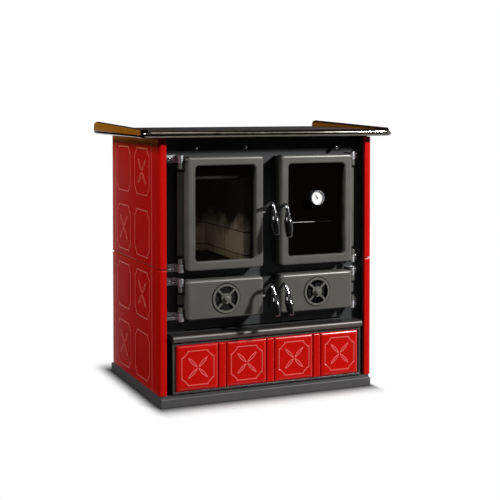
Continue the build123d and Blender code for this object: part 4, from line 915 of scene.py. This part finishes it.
# widths in mm
easedWidths = {"hinge_brackets": 0.9, "drawer_front": 0.7, "left_hot_plate": 0.8, "right_hot_plate": 0.8,
               "hob_ring": 0.8, "hob_lid": 0.8, "ash_spinner": 0.6, "soot_spinner": 0.6, "fire_bricks": 1.6,
               "baffle_plate": 1.0, "fire_grate": 1.0, "base_plinth": 1.8}


def easeEdges(node, widthMm, angle=40):
    # copy of a node with its doubles merged and its sharp edges rounded by a live bevel
    mesh = nodes[node].data.copy()
    mesh.name = node + "Eased"
    finish = mesh.materials[0]
    mesh.materials.clear()
    weld(mesh, False)
    if mesh.has_custom_normals:
        mesh.attributes.remove(mesh.attributes["custom_normal"])
    bevel = addPiece(node + "Eased", mesh, finish, node, angle).modifiers.new("easedEdges", "BEVEL")
    bevel.width = widthMm * mm
    bevel.segments = 2
    bevel.limit_method = "ANGLE"
    bevel.angle_limit = math.radians(angle)
    bevel.harden_normals = True


for node, width in easedWidths.items():
    easeEdges(node, width)
print("edges eased")


# Studio

cameraLook = {"place": (-1.469, -3.501, 0.949), "yaw": -23.43, "pitch": 1.89, "lens": 79.1,
              "shiftY": -0.2182}
camera = bpy.data.cameras.new("viewer")
camera.lens = cameraLook["lens"]
camera.shift_y = cameraLook["shiftY"]
viewer = addObject("viewer", camera)
viewer.location = cameraLook["place"]
viewer.rotation_euler = (math.radians(90 - cameraLook["pitch"]), 0, math.radians(cameraLook["yaw"]))
scene.camera = viewer

lampLook = {
    "key": {"place": (2.28, -2.94, 2.42), "aim": (0, -0.2, 0.5), "size": 0.32, "power": 280},
    "leftSide": {"place": (-3.4, -0.7, 2.7), "aim": (-0.38, 0, 0.45), "size": 1.2, "power": 116},
    "rightBack": {"place": (3.6, 1.8, 1.8), "aim": (0.2, 0.2, 0.5), "size": 1.6, "power": 110},
    "top": {"place": (0.2, -1.3, 3.3), "aim": (0, -0.2, 0.5), "size": 1.2, "power": 16},
}
for name, look in lampLook.items():
    lamp = bpy.data.lights.new(name, "AREA")
    lamp.size = look["size"]
    lamp.energy = look["power"]
    holder = addObject(name, lamp)
    holder.location = look["place"]
    aim = unit(np.subtract(look["aim"], look["place"]))
    holder.rotation_euler = (math.acos(aim[2]) - math.pi, 0, math.atan2(aim[1], aim[0]) + math.pi / 2)


worldLook = {"light": 0.03, "backdrop": 1.0}


def makeWorld(look):
    # even grey light, but a white backdrop for the eye and for what metal and glass mirror
    world = bpy.data.worlds.new("studioAir")
    world.use_nodes = True
    scene.world = world
    tree = world.node_tree
    rays = addNode(tree, "LightPath").outputs
    seen = addNode(tree, "Math", {0: rays["Is Camera Ray"], 1: rays["Is Glossy Ray"]}, operation="MAXIMUM")
    seen = addNode(tree, "Math", {0: seen, 1: rays["Is Transmission Ray"]}, operation="MAXIMUM")
    level = addNode(tree, "MapRange", {"Value": seen, "To Min": look["light"], "To Max": look["backdrop"]})
    wire(tree, tree.nodes["Background"], {"Color": "#ffffff", "Strength": level})


makeWorld(worldLook)

floorLook = {"rings": (0, 0.5, 1.0, 2.0, 6.0), "fade": 0.15, "contact": 0.13, "crowdRight": (6, 1, 1),
             "crowdLeft": (2.4, 1, 1), "shade": "#343434", "colour": "#d0d0d0"}


def makeFloor(look):
    # disc of rings: pale paper floor that thins out into the white backdrop, darkened to a painted contact shadow
    # close to the plinth
    grid = turned([(radius, 0) for radius in look["rings"]], (0, 0, 0), (0, 0, 1), 96)
    mesh = bpy.data.meshes.new("paperFloor")
    mesh.from_pydata(grid.reshape(-1, 3), [], gridQuads(*grid.shape[:2], True).tolist())
    paper, tree, shader, at = startFinish("paperFloor", look["colour"], Roughness=0.9,
                                          Specular_IOR_Level=0.1)
    low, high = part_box("base_plinth")
    sides = []
    for start, end, crowd in ((at, high, look["crowdRight"]), (low, at, look["crowdLeft"])):
        past = addNode(tree, "VectorMath", {0: start, 1: end}, operation="SUBTRACT")
        outside = addNode(tree, "VectorMath", {0: past}, operation="MAXIMUM")  # nothing under the stove
        sides.append(addNode(tree, "VectorMath", {0: outside, 1: crowd}, operation="MULTIPLY"))
    beyond = addNode(tree, "VectorMath", {0: sides[0], 1: sides[1]}, operation="ADD")
    far = addNode(tree, "VectorMath", {0: beyond}, operation="LENGTH")  # off the plinth, longer sideways
    share = addNode(tree, "MapRange", {"Value": far, "From Max": look["fade"]},
                    interpolation_type="SMOOTHSTEP")
    # painted contact shadow: the floor turns dark grey close to the plinth
    near = addNode(tree, "MapRange", {"Value": far, "From Max": look["contact"]})
    tone = addNode(tree, "Mix", {0: near, 6: look["shade"], 7: look["colour"]}, data_type="RGBA")
    wire(tree, shader, {"Base Color": tone})
    thinned = addNode(tree, "MixShader", {0: share, 1: shader, 2: addNode(tree, "BsdfTransparent")})
    wire(tree, tree.nodes["Material Output"], {"Surface": thinned})
    addObject("paperFloor", mesh, paper)


makeFloor(floorLook)

# lowest and highest corner, then colour and glow where it isn't black felt; a glow paints a lit wall into
# reflections
cardLook = {
    "frontFlag": ((-5.0, -5.5, -2.4), (6.0, -5.5, 5.0)),
    "ceilingFlag": ((-5.0, -2.3, 4.2), (6.0, 4.0, 4.2)),
    "backFlag": ((-5.0, 0.5, -4.0), (-0.44, 0.5, 0.82)),
    "woodWall": ((-5.0, 4.0, 0.6), (-0.3, 4.0, 2.6), "#b8761c", 0.75),
    "highFlag": ((-5.0, 4.0, 2.6), (-0.3, 4.0, 4.2), "#1a120a", 0.4),
    "farFlag": ((-0.3, 4.0, 0.75), (4.0, 4.0, 4.2), "#3a2c26", 0.8),
    "leftFlag": ((-5.0, -5.5, -2.4), (-5.0, 4.0, 4.2)),
}


def makeCard(name, low, high, colour="#080808", glow=0.0):
    # studio card that only mirrors see, so it paints a reflection: black felt, or a glow standing in for a warm
    # wooden wall
    low, high = np.array(low), np.array(high)
    beside = np.array((high[0], low[1] if low[2] == high[2] else high[1], low[2]))
    mesh = bpy.data.meshes.new(name)
    mesh.from_pydata([low, beside, low + high - beside, high], [], gridQuads(2, 2).tolist())
    fuzz = (30, 2, {"Normal": (0.3, 5)})
    finish = makeSkin(name, colour, fuzz, Roughness=0.95, Specular_IOR_Level=0.05, Emission_Color=colour,
                      Emission_Strength=glow)
    card = addObject(name, mesh, finish)
    card.visible_camera = card.visible_diffuse = card.visible_transmission = card.visible_shadow = False


for name, look in cardLook.items():
    makeCard(name, *look)
scene.view_settings.view_transform = "Standard"
print("studio set")
